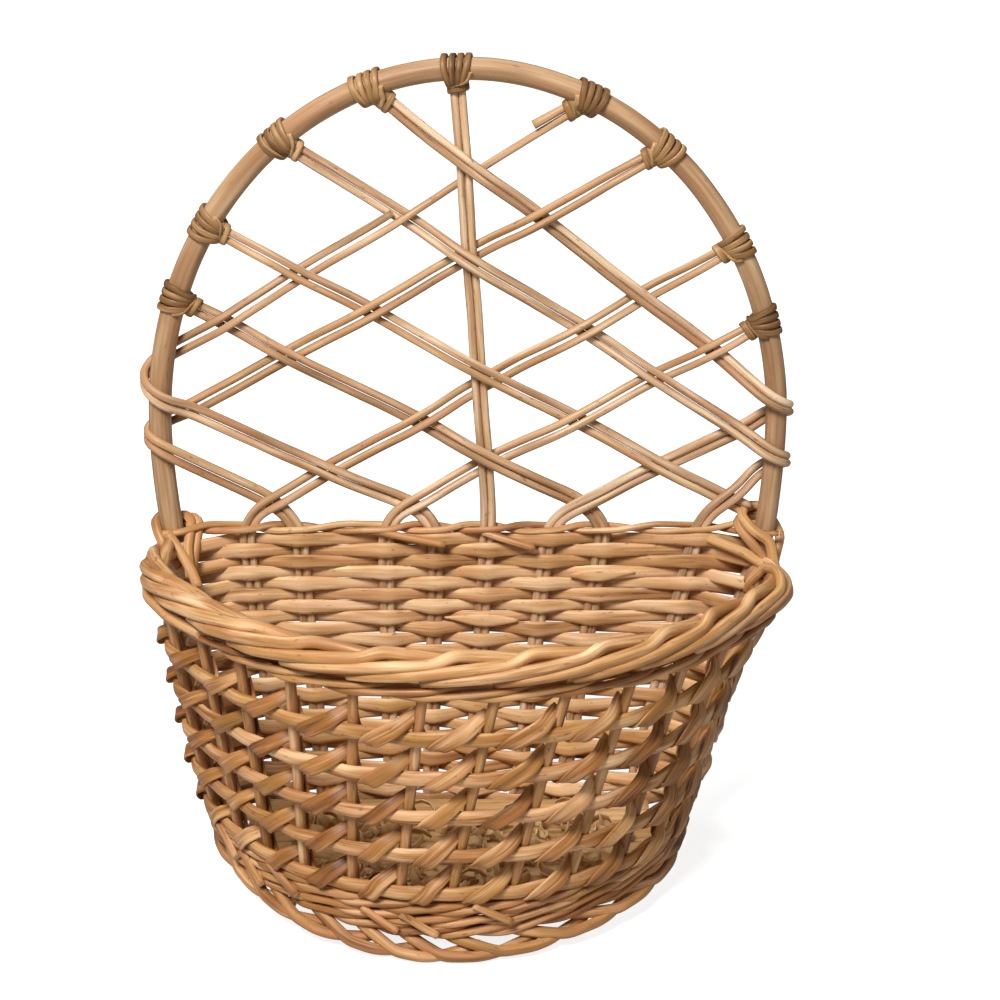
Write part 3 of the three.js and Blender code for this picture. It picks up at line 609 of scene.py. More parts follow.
def hoopLeg(side):
    lower = hoopLook["feet"][-1]
    steps = hoopLook["legSteps"]
    heights = [*hoopLook["feet"], *[lerp(lower, hoopLook["spring"], f / steps) for f in range(1, steps)]]
    return [vec(hoopX(side, z), 0, z) for z in heights]


def hoopSize(t):
    return 1 - hoopLook["taper"] * t


arch = [archPoint(math.pi * (1 - i / hoopLook["archSteps"])) for i in range(hoopLook["archSteps"] + 1)]
hoopPoints = [*hoopLeg(-1), *[vec(p.x, 0, p.y) for p in arch], *reversed(hoopLeg(1))]
last = len(hoopPoints) - 1
hoopWide = [2 * hoopLook["radius"] * hoopSize(i / last) * dice.uniform(*hoopLook["uneven"])
            for i in range(last + 1)]
hoopCane = strand(hoopPoints, hoopWide, loose=0.6, spacing=6)
makePiece("hoop", [hoopCane], "cane", hoopLook["sweep"], name="hoopCane")
print("hoop")

# Lattice: pairs of rods on lines that fall right (A), fall left (B) and stand upright (V)
lattice = {
    "radius": 1.88,
    "half": 1.76,  # from a pair's middle to each rod, times the line's spread
    "spreads": {"A2": 1.14, "A3": 1.14, "A4": 1.1, "A5": 1.2, "A6": 1.25, "B1": 1.4,
                "B2": 1.35, "B3": 1.4, "B4": 1.3, "B5": 1.15, "B6": 1.25},
    "gap": {"line": "B1", "from": 0.56, "to": 0.88},  # a rod of this line stops short here
    "shares": [-0.759, -0.577, -0.281, -0.107, 0.069, 0.275, 0.467, 0.781],  # of the back rim's half
    "floor": 6.0,
    "bendBelow": 5.0,  # from the back rim down and up, where a pair begins and ends its bend
    "bendAbove": 8.0,
    "crossReach": 8.6,  # half length of the level stretch at a crossing
    "crossRoom": 1.0,  # left free between two such stretches
    "centreReach": 22.0,  # crossings this close to the upright pair clear it too
    "hoopReach": 24.0,  # crossings this close to a turn keep its side
    "endRoom": 3.0,
    "lastRun": 1.5,
    "leastSlope": 0.2,
    "leftUpper": 219.0,
    "leftLower": 196.0,
    "rightUpper": 209.0,
    "rightLower": 184.0,
    "turnRise": 7.5,
    "steepRise": 15.0,
    "turnSteps": (30, 60, 90, 120, 150),  # degrees round the hoop
    "wrapRoom": 1.06,
    "cornerLift": 6.5,
    "cornerReach": 7.0,
    "uneven": (0.97, 1.07),
    "taper": (1.06, 0.92),
    "tones": (0.25, 0.85),
    "sweep": {"Step": 0.003, "Wander": 0.0016, "Seed": 20},
}
lashAngles = {"L1": 158.6, "L2": 145.1, "L3": 125.9, "L4": 107.8, "T": 91.7,
              "R4": 67.4, "R3": 51.6, "R2": 31.1, "R1": 17.3}
backRim = body["rimHeight"] + body["backRise"]
pairFeet = [share * body["rimHalf"] for share in lattice["shares"]]
feet = [Vector((x, backRim)) for x in pairFeet]


def hoopSpot(side, z):
    return Vector((hoopX(side, z), z))


def makeLine(name, low, high=None, lash=None):
    high = archPoint(math.radians(lashAngles[lash])) if lash else high
    return {"name": name, "low": low, "high": high, "lash": lash, "length": (high - low).length,
            "dir": (high - low).normalized()}


cornerX = body["rimHalf"] - hoopLook["radius"] - 3 * stakeLook["radius"] - lattice["half"]
cornerTip = Vector((cornerX, backRim + lattice["cornerLift"]))
lines = {line["name"]: line for line in (
    makeLine("A1", hoopSpot(1, lattice["rightUpper"] + lattice["turnRise"]), lash="L4"),
    makeLine("A2", hoopSpot(1, lattice["rightLower"] + lattice["turnRise"]), lash="L3"),
    makeLine("A3", cornerTip, lash="L2"),
    makeLine("A4", feet[6], lash="L1"),
    makeLine("A5", feet[3], hoopSpot(-1, lattice["leftUpper"])),
    makeLine("A6", feet[1], hoopSpot(-1, lattice["leftLower"])),
    makeLine("B1", hoopSpot(-1, lattice["leftUpper"] + lattice["steepRise"]), lash="R4"),
    makeLine("B2", hoopSpot(-1, lattice["leftLower"] + lattice["turnRise"]), lash="R3"),
    makeLine("B3", feet[0], lash="R2"),
    makeLine("B4", feet[2], lash="R1"),
    makeLine("B5", feet[5], hoopSpot(1, lattice["rightUpper"])),
    makeLine("B6", feet[7], hoopSpot(1, lattice["rightLower"])),
    makeLine("V", feet[4], lash="T"),
)}
latticePairs = [["B3"], ["A6", "B2"], ["B4"], ["A5", "B1"], ["V"], ["B5", "A1"], ["A4"], ["B6", "A2"], ["A3"]]
turned = [names[1] for names in latticePairs if len(names) == 2]
layerStep = lattice["radius"] + body["seat"] / 2
wrapStep = (hoopLook["radius"] + lattice["radius"] + body["seat"]) * lattice["wrapRoom"]


def cross2(a, b):
    return a.x * b.y - a.y * b.x


def meet(a, b):
    turn = cross2(a["dir"], b["dir"])
    gap = b["low"] - a["low"]
    s = cross2(gap, b["dir"]) / turn
    t = cross2(gap, a["dir"]) / turn
    room = lattice["endRoom"]
    inside = room < s < a["length"] - room and room < t < b["length"] - room
    return s if inside else None


def nearTurn(line, s):
    if line["lash"]:
        return line["name"] in turned and s < lattice["hoopReach"]
    return line["length"] - s < lattice["hoopReach"]


def levels(line):  # where a line stands forward of the middle (negative) or behind it
    found = []
    front = -1 if line["name"][0] == "A" else 1
    upright = lines["V"]
    for other in lines.values():
        if other["name"][0] == line["name"][0] or line["name"] == "V":
            continue
        s = meet(line, other)
        if s is None:
            continue
        place = line["low"] + line["dir"] * s
        uprightX = upright["low"].x + upright["dir"].x / upright["dir"].y * (place.y - backRim)
        if other["name"] == "V" or abs(place.x - uprightX) < lattice["centreReach"]:
            found.append((s, front * 2 * layerStep))
            continue
        even = (int(line["name"][1]) + int(other["name"][1])) % 2 == 0
        atTurn = nearTurn(line, s) or nearTurn(other, meet(other, line))
        found.append((s, front * (1 if even or atTurn else -1) * layerStep))
    return sorted(found)


lashing = {
    "radius": 0.85,
    "wide": 2.9,
    "turns": 4,
    "pitch": 3.7,
    "steps": 20,  # stations of a turn
    "pull": 1.8,  # towards the pair
    "gather": 0.55,
    "clear": 0.1,
    "slant": 0.6,  # share of a slanted pair's half width that the binding keeps clear of
    "leastInto": 0.86,
    "slip": 0.5,
    "neckSquare": 1.3,
    "neckSteps": 16,
    "neckStations": 35,
    "neckRun": (-4.4, 1.8),
    "neckWide": 3.3,
    # strap on the hoop: pitches along, then in and forward in coil radii, then further forward
    "strapHoop": [(-1.5, 0.1, 0.9, 0), (-1.1, 0.75, 0.8, 0.6)],
    # strap on the neck: degrees round it, along it, further forward
    "strapNeck": [(-110, -2.8, 1.6), (-50, -1.2, 0), (10, 0.2, 0), (80, 1.0, 0)],
    "strapWide": 3.2,
    "tones": (0.3, 0.7),
    "sweep": {"Step": 0.0014, "Wander": 0.0006, "Seed": 40},
}


def lashFrame(line):
    angle = math.radians(lashAngles[line["lash"]])
    tangent = Vector((-hoopLook["half"] * math.sin(angle), hoopLook["rise"] * math.cos(angle))).normalized()
    inward = Vector((tangent.y, -tangent.x))
    if inward.dot(line["dir"]) > 0:
        inward.negate()
    into = -line["dir"]
    lateral = Vector((-into.y, into.x))
    if lateral.dot(tangent) * into.dot(tangent) > 0:
        lateral.negate()
    radius = hoopLook["radius"] * hoopSize(1 - angle / math.pi) + lashing["radius"] + lashing["clear"]
    slant = (lattice["half"] + lattice["radius"]) * abs(lateral.dot(inward)) * lashing["slant"]
    free = (radius + lashing["pull"] + slant) / max(into.dot(inward), lashing["leastInto"])
    return {"tangent": tangent, "inward": inward, "into": into, "lateral": lateral, "radius": radius,
            "free": free}


def lineNodes(line, order, paired, footX, part):
    spread = lattice["spreads"].get(line["name"], 1.0)
    side = lambda d: Vector((-d.y, d.x)) * part
    at = lambda s, depth: (line["low"] + line["dir"] * s, depth, side(line["dir"]) * spread)
    front = -1 if line["name"][0] == "A" else 1
    beside = hoopLook["radius"] + lattice["radius"] + lattice["half"] * line["dir"].y
    hoopEnd = beside / max(abs(line["dir"].x), lattice["leastSlope"])
    reach = levels(line)
    if order == 0 and footX is not None:
        up = Vector((line["low"].x - footX, backRim)).normalized()
        bend = (side(up) + side(line["dir"])).normalized()
        foot = Vector((footX + up.x / up.y * lattice["floor"], lattice["floor"]))
        below = line["low"] - up * lattice["bendBelow"]
        above = line["low"] + line["dir"] * lattice["bendAbove"]
        nodes = [(foot, 0, side(up)), (below, 0, side(up)), (above, 0, bend)]
    elif order == 0:
        nodes = [at(-lattice["cornerReach"], reach[0][1])]
    else:
        nodes = [at(0, front * wrapStep), at(hoopEnd, front * wrapStep)]
    stop = line["length"] - (lashFrame(line)["free"] if line["lash"] else hoopEnd)
    for i, (s, depth) in enumerate(reach):
        start = s - lattice["crossReach"] / 2
        end = s + lattice["crossReach"]
        if i > 0:
            start = max(s - lattice["crossReach"], (reach[i - 1][0] + s) / 2 + lattice["crossRoom"])
        if i + 1 < len(reach):
            end = min(end, (reach[i + 1][0] + s) / 2 - lattice["crossRoom"])
        nodes += [at(start, depth), at(min(end, stop - lattice["crossRoom"]), depth)]
    if paired and order == 0:
        nodes += [at(line["length"] - hoopEnd, front * wrapStep), at(line["length"], front * wrapStep)]
    else:
        nodes.append((line["low"] + line["dir"] * (stop + lattice["lastRun"]), 0, side(line["dir"])))
    return nodes


def withGap(nodes, line, first):  # two runs of nodes either side of the gap
    share = lambda node: (node[0] - line["low"]).dot(line["dir"]) / line["length"]
    at = lambda part, depth: (line["low"] + line["dir"] * (line["length"] * part), depth, nodes[-2][2])
    before = [n for i, n in enumerate(nodes) if i < first or share(n) < lattice["gap"]["from"]]
    after = [n for n in nodes[first:] if share(n) > lattice["gap"]["to"]]
    return [[*before, at(lattice["gap"]["from"], before[-1][1])], [at(lattice["gap"]["to"], 0), *after]]


def pairNodes(names, footX):
    part = 1 if lines[names[0]]["dir"].x > 0 else -1
    nodes = lineNodes(lines[names[0]], 0, len(names) == 2, footX, part)
    if len(names) == 1:
        return nodes
    line = lines[names[0]]
    following = lines[names[1]]
    front = -1 if names[0][0] == "A" else 1
    outward = math.copysign(1, line["high"].x)
    for turn in lattice["turnSteps"]:
        p = line["high"].lerp(following["low"], turn / 180)
        p.x += outward * wrapStep * math.sin(math.radians(turn))
        nodes.append((p, front * wrapStep * math.cos(math.radians(turn)), Vector((0, 1))))
    return nodes + lineNodes(following, 1, True, None, -part)


for i, names in enumerate(latticePairs):
    footX = planShift(0) + pairFeet[i] * body["footHalf"] / body["rimHalf"] if i < len(pairFeet) else None
    nodes = pairNodes(names, footX)
    rods = []
    for sign in (1, -1):
        runs = [nodes]
        if sign == 1 and lattice["gap"]["line"] in names:
            runs = withGap(nodes, lines[lattice["gap"]["line"]], len(nodes) // 2)
        tone = dice.uniform(*lattice["tones"])
        for run in runs:
            points = [vec(p.x + sign * lattice["half"] * off.x, depth, p.y + sign * lattice["half"] * off.y)
                      for p, depth, off in run]
            taper = [lerp(*lattice["taper"], n / (len(points) - 1)) for n in range(len(points))]
            wide = [2 * lattice["radius"] * dice.uniform(*lattice["uneven"]) * share for share in taper]
            rods.append(strand(points, wide, tone=tone, spacing=5, soft=3))
    makePiece(f"lattice_pair_{i + 1}", rods, "lattice_rod", lattice["sweep"], i)
print("lattice", len(latticePairs))


# Lashings: flat turns round the hoop, gathered towards the pair, and a binding round its neck
def lashStrands(line):
    at = lashFrame(line)
    toSide = math.copysign(1, at["lateral"].dot(at["tangent"]))
    neck = lattice["radius"] + lashing["radius"]

    def aroundHoop(along, inwards, y):
        p = line["high"] + at["tangent"] * (toSide * along) + at["inward"] * inwards
        return vec(p.x, y, p.y)

    def aroundNeck(turn, along):
        square = clamp(lashing["neckSquare"] * math.cos(turn), -1, 1)
        wide = lattice["half"] * square + neck * math.cos(turn)
        p = line["high"] + at["into"] * (at["free"] + along) + at["lateral"] * wide
        return vec(p.x, neck * math.sin(turn), p.y)

    def fromNeck(p, along):
        axis = line["high"] + at["into"] * (at["free"] + along)
        return p - vec(axis.x, 0, axis.y)

    coil = []
    coilFaces = []
    slips = [dice.uniform(-lashing["slip"], lashing["slip"]) for _ in range(lashing["turns"] + 2)]
    for i in range(lashing["turns"] * lashing["steps"] + 1):
        turn = 2 * math.pi * i / lashing["steps"]
        inside = ((1 + math.cos(turn)) / 2) ** 2
        order = i / lashing["steps"] - lashing["turns"] / 2
        slip = lerp(slips[i // lashing["steps"]], slips[i // lashing["steps"] + 1], i / lashing["steps"] % 1)
        along = (lashing["pitch"] * order + slip) * (1 - lashing["gather"] * inside)
        radius = at["radius"] + lashing["pull"] * inside ** 2
        coil.append(aroundHoop(along, radius * math.cos(turn), radius * math.sin(turn)))
        coilFaces.append(coil[-1] - aroundHoop(along, 0, 0))
    count = lashing["neckStations"]
    bindingSteps = [(2 * math.pi * n / lashing["neckSteps"], lerp(*lashing["neckRun"], n / (count - 1)))
                    for n in range(count)]
    binding = [aroundNeck(turn, along) for turn, along in bindingSteps]
    bindingFaces = [fromNeck(p, along) for p, (_, along) in zip(binding, bindingSteps)]
    onHoop = [aroundHoop(lashing["pitch"] * along, at["radius"] * inwards, -at["radius"] * forward - more)
              for along, inwards, forward, more in lashing["strapHoop"]]
    onNeck = [aroundNeck(math.radians(turn), along) - yAxis * more
              for turn, along, more in lashing["strapNeck"]]
    strapFaces = [-yAxis for _ in onHoop] + [fromNeck(p, 0) for p in onNeck]
    tone = dice.uniform(*lashing["tones"])
    thick = 2 * lashing["radius"]
    return [
        strand(coil, lashing["wide"], thick, coilFaces, tone, spacing=1.6, soft=1, squared=0.55),
        strand(binding, lashing["neckWide"], thick, bindingFaces, tone + 0.1, spacing=1.4, soft=1,
               squared=0.5),
        strand(onHoop + onNeck, lashing["strapWide"], thick, strapFaces, tone + 0.2, spacing=1.6,
               squared=0.5),
    ]


for line in lines.values():
    if line["lash"]:
        makePiece(f"lashing_{line['lash']}", lashStrands(line), "lashing", lashing["sweep"])
print("lashings", len(lashAngles))

# Back wall: half-round strips woven over the pairs and turned round the hoop legs
backWeave = {
    "thick": 2.4,
    "strips": 5,
    "rows": 5,  # of each strip
    "start": 14.0,
    "topShare": 0.7,
    "end": 3.0,
    "legReach": 4.0,
    "bulge": 7.9,  # widths in front of a pair, behind it, between two pairs and round a leg
    "hidden": 6.9,
    "pinch": 5.6,
    "legWide": 6.9,
    "edge": 0.94,  # share of the width at either side of a pair
    "uneven": (0.94, 1.05),
    "ridge": 0.6,
    "press": 0.2,
    "settle": (-0.25, 1.0),  # how far the strips sink in front of a pair, below and above these rows
    "settleRows": (13, 20),
    "slip": 0.25,
    "legSettle": 1.7,
    "droop": 4.5,  # the strips sag towards the legs, all of it from this row up
    "droopRow": 8,
    "turnStep": 30,
    "split": 0.6,
    "tones": (0.2, 0.9),
    "sweep": {"Step": 0.0024, "Sides": 12, "Wander": 0.0009, "Seed": 60},
}
spliceLook = {
    "count": 4,
    "lowest": 8,  # row
    "reach": 17.0,
    "uneven": (0.8, 1.2),
    "slip": 0.8,
    "over": 1.3,  # in front of the strip, falling back and rising towards the ends
    "fall": 2.2,
    "rise": 0.8,
    "stations": [(-0.9, 1.5), (-0.4, 5.6), (0, 6.9), (0.5, 4.2), (1, 0.7)],  # share of the reach, width
    "thick": 1.5,
    "tones": (0.3, 0.9),
}
rowsInAll = backWeave["rows"] * backWeave["strips"]
backPitch = (body["rimHeight"] - backWeave["start"]) / (rowsInAll - backWeave["topShare"])
pairClear = lattice["radius"] + backWeave["thick"] / 2 + body["seat"] - backWeave["press"]
pairReach = lattice["half"] + lattice["radius"]
legClear = hoopLook["radius"] + backWeave["thick"] / 2 + body["seat"]


def wallX(x, z):
    return planShift(z) + x * planHalf(z) / body["rimHalf"]


def backRow(row, stations, first, final):
    z = backWeave["start"] + row * backPitch
    heading = 1 if row % 2 == 0 else -1
    near = lambda post: -1 if (row + post) % 2 == 0 else 1
    posts = [(wallX(x, z), near(n + 1)) for n, x in enumerate(pairFeet)][::heading]
    ends = [near(0), near(len(pairFeet) + 1)][::heading]
    tone = dice.uniform(*backWeave["tones"])
    droop = backWeave["droop"] * min(row / backWeave["droopRow"], 1)
    settle = lerp(*backWeave["settle"], ramp(row, *backWeave["settleRows"]))
    put = lambda x, y, wide, lift: stations.append((vec(x, y, z + lift), wide, tone))

    def putByLeg(x, side, up=0.0):
        put(x, side * legClear, backWeave["legWide"], up - droop - backWeave["legSettle"] * side)

    startX = legX(-heading, z)
    endX = legX(heading, z)
    if first:
        putByLeg(startX - heading * backWeave["end"], ends[0])
    putByLeg(startX + heading * backWeave["legReach"], ends[0])
    previous = None
    for x, side in posts:
        if previous is not None:
            slip = dice.uniform(-backWeave["slip"], backWeave["slip"])
            put((previous + x) / 2, 0, backWeave["pinch"], slip)
        wide = backWeave["bulge" if side < 0 else "hidden"] * dice.uniform(*backWeave["uneven"])
        edge = (side * (pairClear - backWeave["ridge"]), wide * backWeave["edge"], -side * settle)
        put(x - heading * pairReach, *edge)
        put(x, side * (pairClear + backWeave["ridge"]), wide, -side * settle)
        put(x + heading * pairReach, *edge)
        previous = x
    putByLeg(endX - heading * backWeave["legReach"], ends[1])
    if final:
        putByLeg(endX + heading * backWeave["end"], ends[1])
        return
    for turn in range(0, 181, backWeave["turnStep"]):
        up = backPitch * turn / 180
        outward = heading * legClear * math.sin(math.radians(turn))
        putByLeg(legX(heading, z + up) + outward, ends[1] * math.cos(math.radians(turn)), up)


def splice():  # a strip's thin end laid over the row
    row = dice.randrange(spliceLook["lowest"], rowsInAll - 1)
    post = dice.randrange(len(pairFeet))
    post += (row + post) % 2  # the posts this row runs in front of, counted from the left leg
    z = backWeave["start"] + row * backPitch + dice.uniform(-spliceLook["slip"], spliceLook["slip"])
    x = wallX(pairFeet[clamp(post - 1, 0, len(pairFeet) - 1)], z)
    reach = dice.choice((-1, 1)) * spliceLook["reach"] * dice.uniform(*spliceLook["uneven"])
    front = -pairClear - spliceLook["over"]
    points = [vec(x + reach * f, front + spliceLook["fall"] * abs(f), z + spliceLook["rise"] * f)
              for f, _ in spliceLook["stations"]]
    wide = [size for _, size in spliceLook["stations"]]
    tone = dice.uniform(*spliceLook["tones"])
    made = strand(points, wide, spliceLook["thick"], [-yAxis] * len(points), tone, split=backWeave["split"],
                  spacing=2.6)
    return row // backWeave["rows"], made


splices = [splice() for _ in range(spliceLook["count"])]
for strip in range(backWeave["strips"]):
    stations = []
    for n in range(backWeave["rows"]):
        backRow(strip * backWeave["rows"] + n, stations, n == 0, n == backWeave["rows"] - 1)
    points, wide, tones = (list(column) for column in zip(*stations))
    made = strand(points, wide, backWeave["thick"], [-yAxis] * len(points), tones, split=backWeave["split"],
                  spacing=2.6, soft=1)
    for i in range(1, len(made["points"])):  # round a leg the flat side lies on the leg
        p = made["points"][i]
        side = math.copysign(1, p.x - planShift(p.z))
        away = p - vec(legX(side, p.z), 0, p.z)
        if side * away.x > 0:
            made["columns"]["face"][i] = vec(away.x, away.y, 0).normalized()
    strands = [made, *[extra for place, extra in splices if place == strip]]
    makePiece(f"back_weaver_{strip + 1}", strands, "back_weaver", backWeave["sweep"], strip)
print("back wall", rowsInAll)

# Twine along the top of the back wall
backTwine = {
    "wide": 3.2,
    "taper": (1.1, 0.85),
    "drop": 5.2,
    "tail": 2.0,
    "gap": 0.4,
    "tones": (0.4, 0.7),
    # cut ends laid over the top row: across and height where each begins and ends, then its tone
    "ends": [((-41, 152.5), (-11, 147.8), 0.3), ((7, 152.5), (30.5, 146.4), 0.65)],
    "endSteps": (0, 0.3, 0.65, 1),
    "endDepths": (-2.6, -6.6),
    "endBow": 0.7,
    "endWide": 1.15,
    "sweep": {"Wander": 0.0014, "Seed": 71},
}
twineZ = backRim - backTwine["drop"]
waleSpread = 0.8  # share of the rise between the two outer rods of three


def twined(posts, strands, clear, rises, reach, tail):  # each post is a function of along, out and lift
    made = []
    for phase in range(strands):
        points = []
        for k, place in enumerate(posts):
            order = (k + phase) % strands
            out = -clear if order == strands - 1 else clear
            lift = 0 if strands == 2 else (-rises * waleSpread, rises * waleSpread, 0)[order]
            points += [place(-reach, out, lift), place(reach, out, lift)]
            if k + 1 < len(posts):
                between = place(reach, 0, 0).lerp(posts[k + 1](-reach, 0, 0), 0.5)
                if strands == 2:
                    points.append(between + zAxis * math.copysign(rises, out))
                elif order > 0:
                    points.append(between + zAxis * (rises if order == 1 else -rises))
            else:
                points.append(place(reach + tail, out, lift))
        made.append(points)
    return made


def twinePost(x, share=1.0):
    return lambda along, out, lift: vec(x + along, -out * share, twineZ + lift)


twineClear = lattice["radius"] + backTwine["wide"] / 2
legShare = (hoopLook["radius"] + backTwine["wide"] / 2) / twineClear
twinePosts = [twinePost(hoopX(-1, twineZ), legShare), *[twinePost(wallX(x, twineZ)) for x in pairFeet],
              twinePost(hoopX(1, twineZ), legShare)]
twineRise = backTwine["wide"] / 2 + backTwine["gap"]
strands = []
for path in twined(twinePosts, 2, twineClear, twineRise, pairReach, backTwine["tail"]):
    wide = [backTwine["wide"] * lerp(*backTwine["taper"], n / len(path)) for n in range(len(path))]
    strands.append(strand(path, wide, tone=dice.uniform(*backTwine["tones"]), soft=3))
for (beginX, beginZ), (endX, endZ), tone in backTwine["ends"]:
    points = [vec(lerp(beginX, endX, f), lerp(*backTwine["endDepths"], f ** backTwine["endBow"]),
                  lerp(beginZ, endZ, f)) for f in backTwine["endSteps"]]
    strands.append(strand(points, backTwine["wide"] * backTwine["endWide"], tone=tone, soft=1))
makePiece("back_rim_twine", strands, "border_rod", backTwine["sweep"])
print("back rim")


# Places beside each stake at a height: along the row, out from the stakes and up
def wallPost(s, z, scale=1.0):
    return lambda along, out, lift: onWall(s + along / scale, out, z + lift)


def stakePosts(z, lifted=0, dipped=0):
    scale = planDepth(z) / body["rimDepth"]
    places = [leanAt(stakePlace(k), z) for k in range(stakeLook["count"])]
    return [wallPost(s, z + lifted * footLift(s) - dipped * rimDip(s), scale) for s in places]


# Wrapped rows: a half-round rod in front of the stakes and a flat strip wound round rod and stakes
rows = {
    "count": 5,
    "start": 34.6,
    "topDrop": 33.8,
    "rodWide": 6.9,
    "rodThick": 3.4,
    "rodRoom": 0.1,
    "rodOver": 0.2,  # out in front of a stake, and in and up between two
    "rodUnder": 0.5,
    "rodLift": 0.6,
    "rodSlip": 0.5,
    "rodUneven": (0.92, 1.06),
    "rodTones": (0.65, 1.0),
    "sideFace": 1.1,
    "stripWide": 7.6,
    "stripThick": 1.2,
    "stripUneven": (0.88, 1.08),
    "stripSlip": (-0.4, 0.5),
    "stripTones": (0.22, 0.72),
    "back": 3.5,  # depth of the strip behind a stake
    "legAt": 2.0,
    "legHook": [(1, 8.6), (6.6, 5.4), (8.6, -1.5)],  # across and depth from a leg
    "sweep": {"Step": 0.0018, "Sides": 12, "Wander": 0.0011, "Seed": 80},
}
rowPitch = (body["rimHeight"] - rows["topDrop"] - rows["start"]) / (rows["count"] - 1)
rodOut = stakeLook["radius"] + rows["rodThick"] / 2 + rows["rodRoom"]
stripOut = rodOut + rows["rodThick"] / 2 + rows["stripThick"] / 2
# Stations of one winding: along (from this stake, or back from the next), out, up, face out, face up, width
windFrom = [
    (0.0, -rows["back"], 8.6, -1, 0.1, 0.46),
    (0.1, -rows["back"], 4.0, -1, 0, 0.45),
    (1.0, -rows["back"], -0.4, -0.9, -0.4, 0.45),
    (4.2, -0.6, -4.0, -0.4, -0.9, 0.5),
    (7.0, rodOut, -5.0, 0.3, -0.95, 0.74),
    (8.4, stripOut - 0.3, -3.0, 0.95, -0.3, 0.97),
    (11.4, stripOut, -1.2, 1, 0, 1.0),
]
windTo = [
    (-9.0, stripOut - 1.0, 4.4, 0.9, 0.4, 0.96),
    (-5.4, stripOut - 3.4, 7.0, 0.88, 0.45, 0.86),
    (-2.6, -0.6, 9.0, 0.92, 0.4, 0.76),
    (0.3, -rows["back"] + 0.3, 10.4, 0.95, 0.3, 0.66),
]


def winding(place, following, wide, slip):
    stations = []
    for source, listed in ((place, windFrom), (following, windTo)):
        for along, out, lift, faceOut, faceUp, share in listed:
            p = source(along, out, lift + slip)
            outward = source(along, out + 1, lift + slip) - p
            stations.append((p, (outward * faceOut + zAxis * faceUp).normalized(), wide * share))
    points, faces, wides = (list(column) for column in zip(*stations))
    return strand(points, wides, rows["stripThick"], faces, dice.uniform(*rows["stripTones"]), loose=0.7,
                  squared=0.75, spacing=1.8)


for row in range(rows["count"]):
    z = rows["start"] + row * rowPitch
    posts = stakePosts(z)
    rod = [vec(hoopX(-1, z) - across, depth, z) for across, depth in rows["legHook"]]
    between = (0, rodOut - rows["rodUnder"], rows["rodLift"])
    for k, place in enumerate(posts):
        rod.append(place(0, rodOut + rows["rodOver"], dice.uniform(-rows["rodSlip"], rows["rodSlip"])))
        if k + 1 < len(posts):
            rod.append(place(*between).lerp(posts[k + 1](*between), 0.5))
    rod += [vec(hoopX(1, z) + across, depth, z) for across, depth in reversed(rows["legHook"])]
    outward = [p - vec(planShift(p.z), 0, p.z) for p in rod]
    faces = [vec(v.x * rows["sideFace"], v.y, 0).normalized() for v in outward]
    wide = [rows["rodWide"] * dice.uniform(*rows["rodUneven"]) for _ in rod]
    tone = dice.uniform(*rows["rodTones"])
    strands = [strand(rod, wide, rows["rodThick"], faces, tone, split=0.3, soft=3)]
    # the hoop legs stand in for a stake at either end
    posts = [wallPost(rows["legAt"], z), *posts, wallPost(arcLength - rows["legAt"], z)]
    for place, following in zip(posts, posts[1:]):
        wide = rows["stripWide"] * dice.uniform(*rows["stripUneven"])
        strands.append(winding(place, following, wide, dice.uniform(*rows["stripSlip"])))
    makePiece(f"twined_row_{row + 1}", strands, "front_weaver", rows["sweep"], row)
print("wrapped rows", rows["count"])

# Wales: three thin rods, each in front of two stakes and behind the next
wales = {
    "wide": 3.7,
    "start": 13.9,
    "pitch": 6.1,
    "count": 3,
    "rimDrop": 11.4,
    "rimWide": 3.2,
    "rise": 0.62,
    "reach": 1.6,
    "tail": 17.0,
    "lifts": [0.7, 0.5, 0.34, 0],  # share of the foot's lift that each row takes
    "uneven": (0.9, 1.1),
    "tones": (0.2, 0.8),
    # cut ends pushed in across a wale, by the spans from the first stake
    "sticks": {"foot_wale_2": [2.4, 5.3, 6.1], "foot_wale_3": [1.6, 3.3, 7.4]},
    "stickLong": 20.0,
    "stickTop": 3.2,
    "stickFall": 9.5,
    "stickOut": (0.3, 0.85),
    "stickSteps": (0, 0.35, 0.7, 1),
    "stickWide": 0.95,
    "stickTones": (0.5, 0.95),
    "sweep": {"Wander": 0.0011, "Seed": 90},
}
waleRows = [(f"foot_wale_{n + 1}", wales["start"] + n * wales["pitch"], wales["wide"])
            for n in range(wales["count"])]
waleRows.append(("rim_wale", body["rimHeight"] - wales["rimDrop"], wales["rimWide"]))
for n, (node, z, wide) in enumerate(waleRows):
    clear = stakeLook["radius"] + wide / 2
    posts = stakePosts(z, wales["lifts"][n], node == "rim_wale")
    strands = []
    for path in twined(posts, 3, clear, wide * wales["rise"], wales["reach"], wales["tail"]):
        wides = [wide * dice.uniform(*wales["uneven"]) for _ in path]
        strands.append(strand(path, wides, tone=dice.uniform(*wales["tones"]), soft=3))
    for k in wales["sticks"].get(node, []):
        s = leanAt(stakePlace(k), z)
        top = z + wales["stickTop"] + wales["lifts"][n] * footLift(s)
        points = [onWall(s + wales["stickLong"] * f, clear + wide * lerp(*wales["stickOut"], f),
                         top - wales["stickFall"] * f) for f in wales["stickSteps"]]
        tone = dice.uniform(*wales["stickTones"])
        strands.append(strand(points, wide * wales["stickWide"], tone=tone, soft=1))
    makePiece(node, strands, "wale", wales["sweep"], n, name="wale" + node.title().replace("_", ""))
print("wales", len(waleRows))

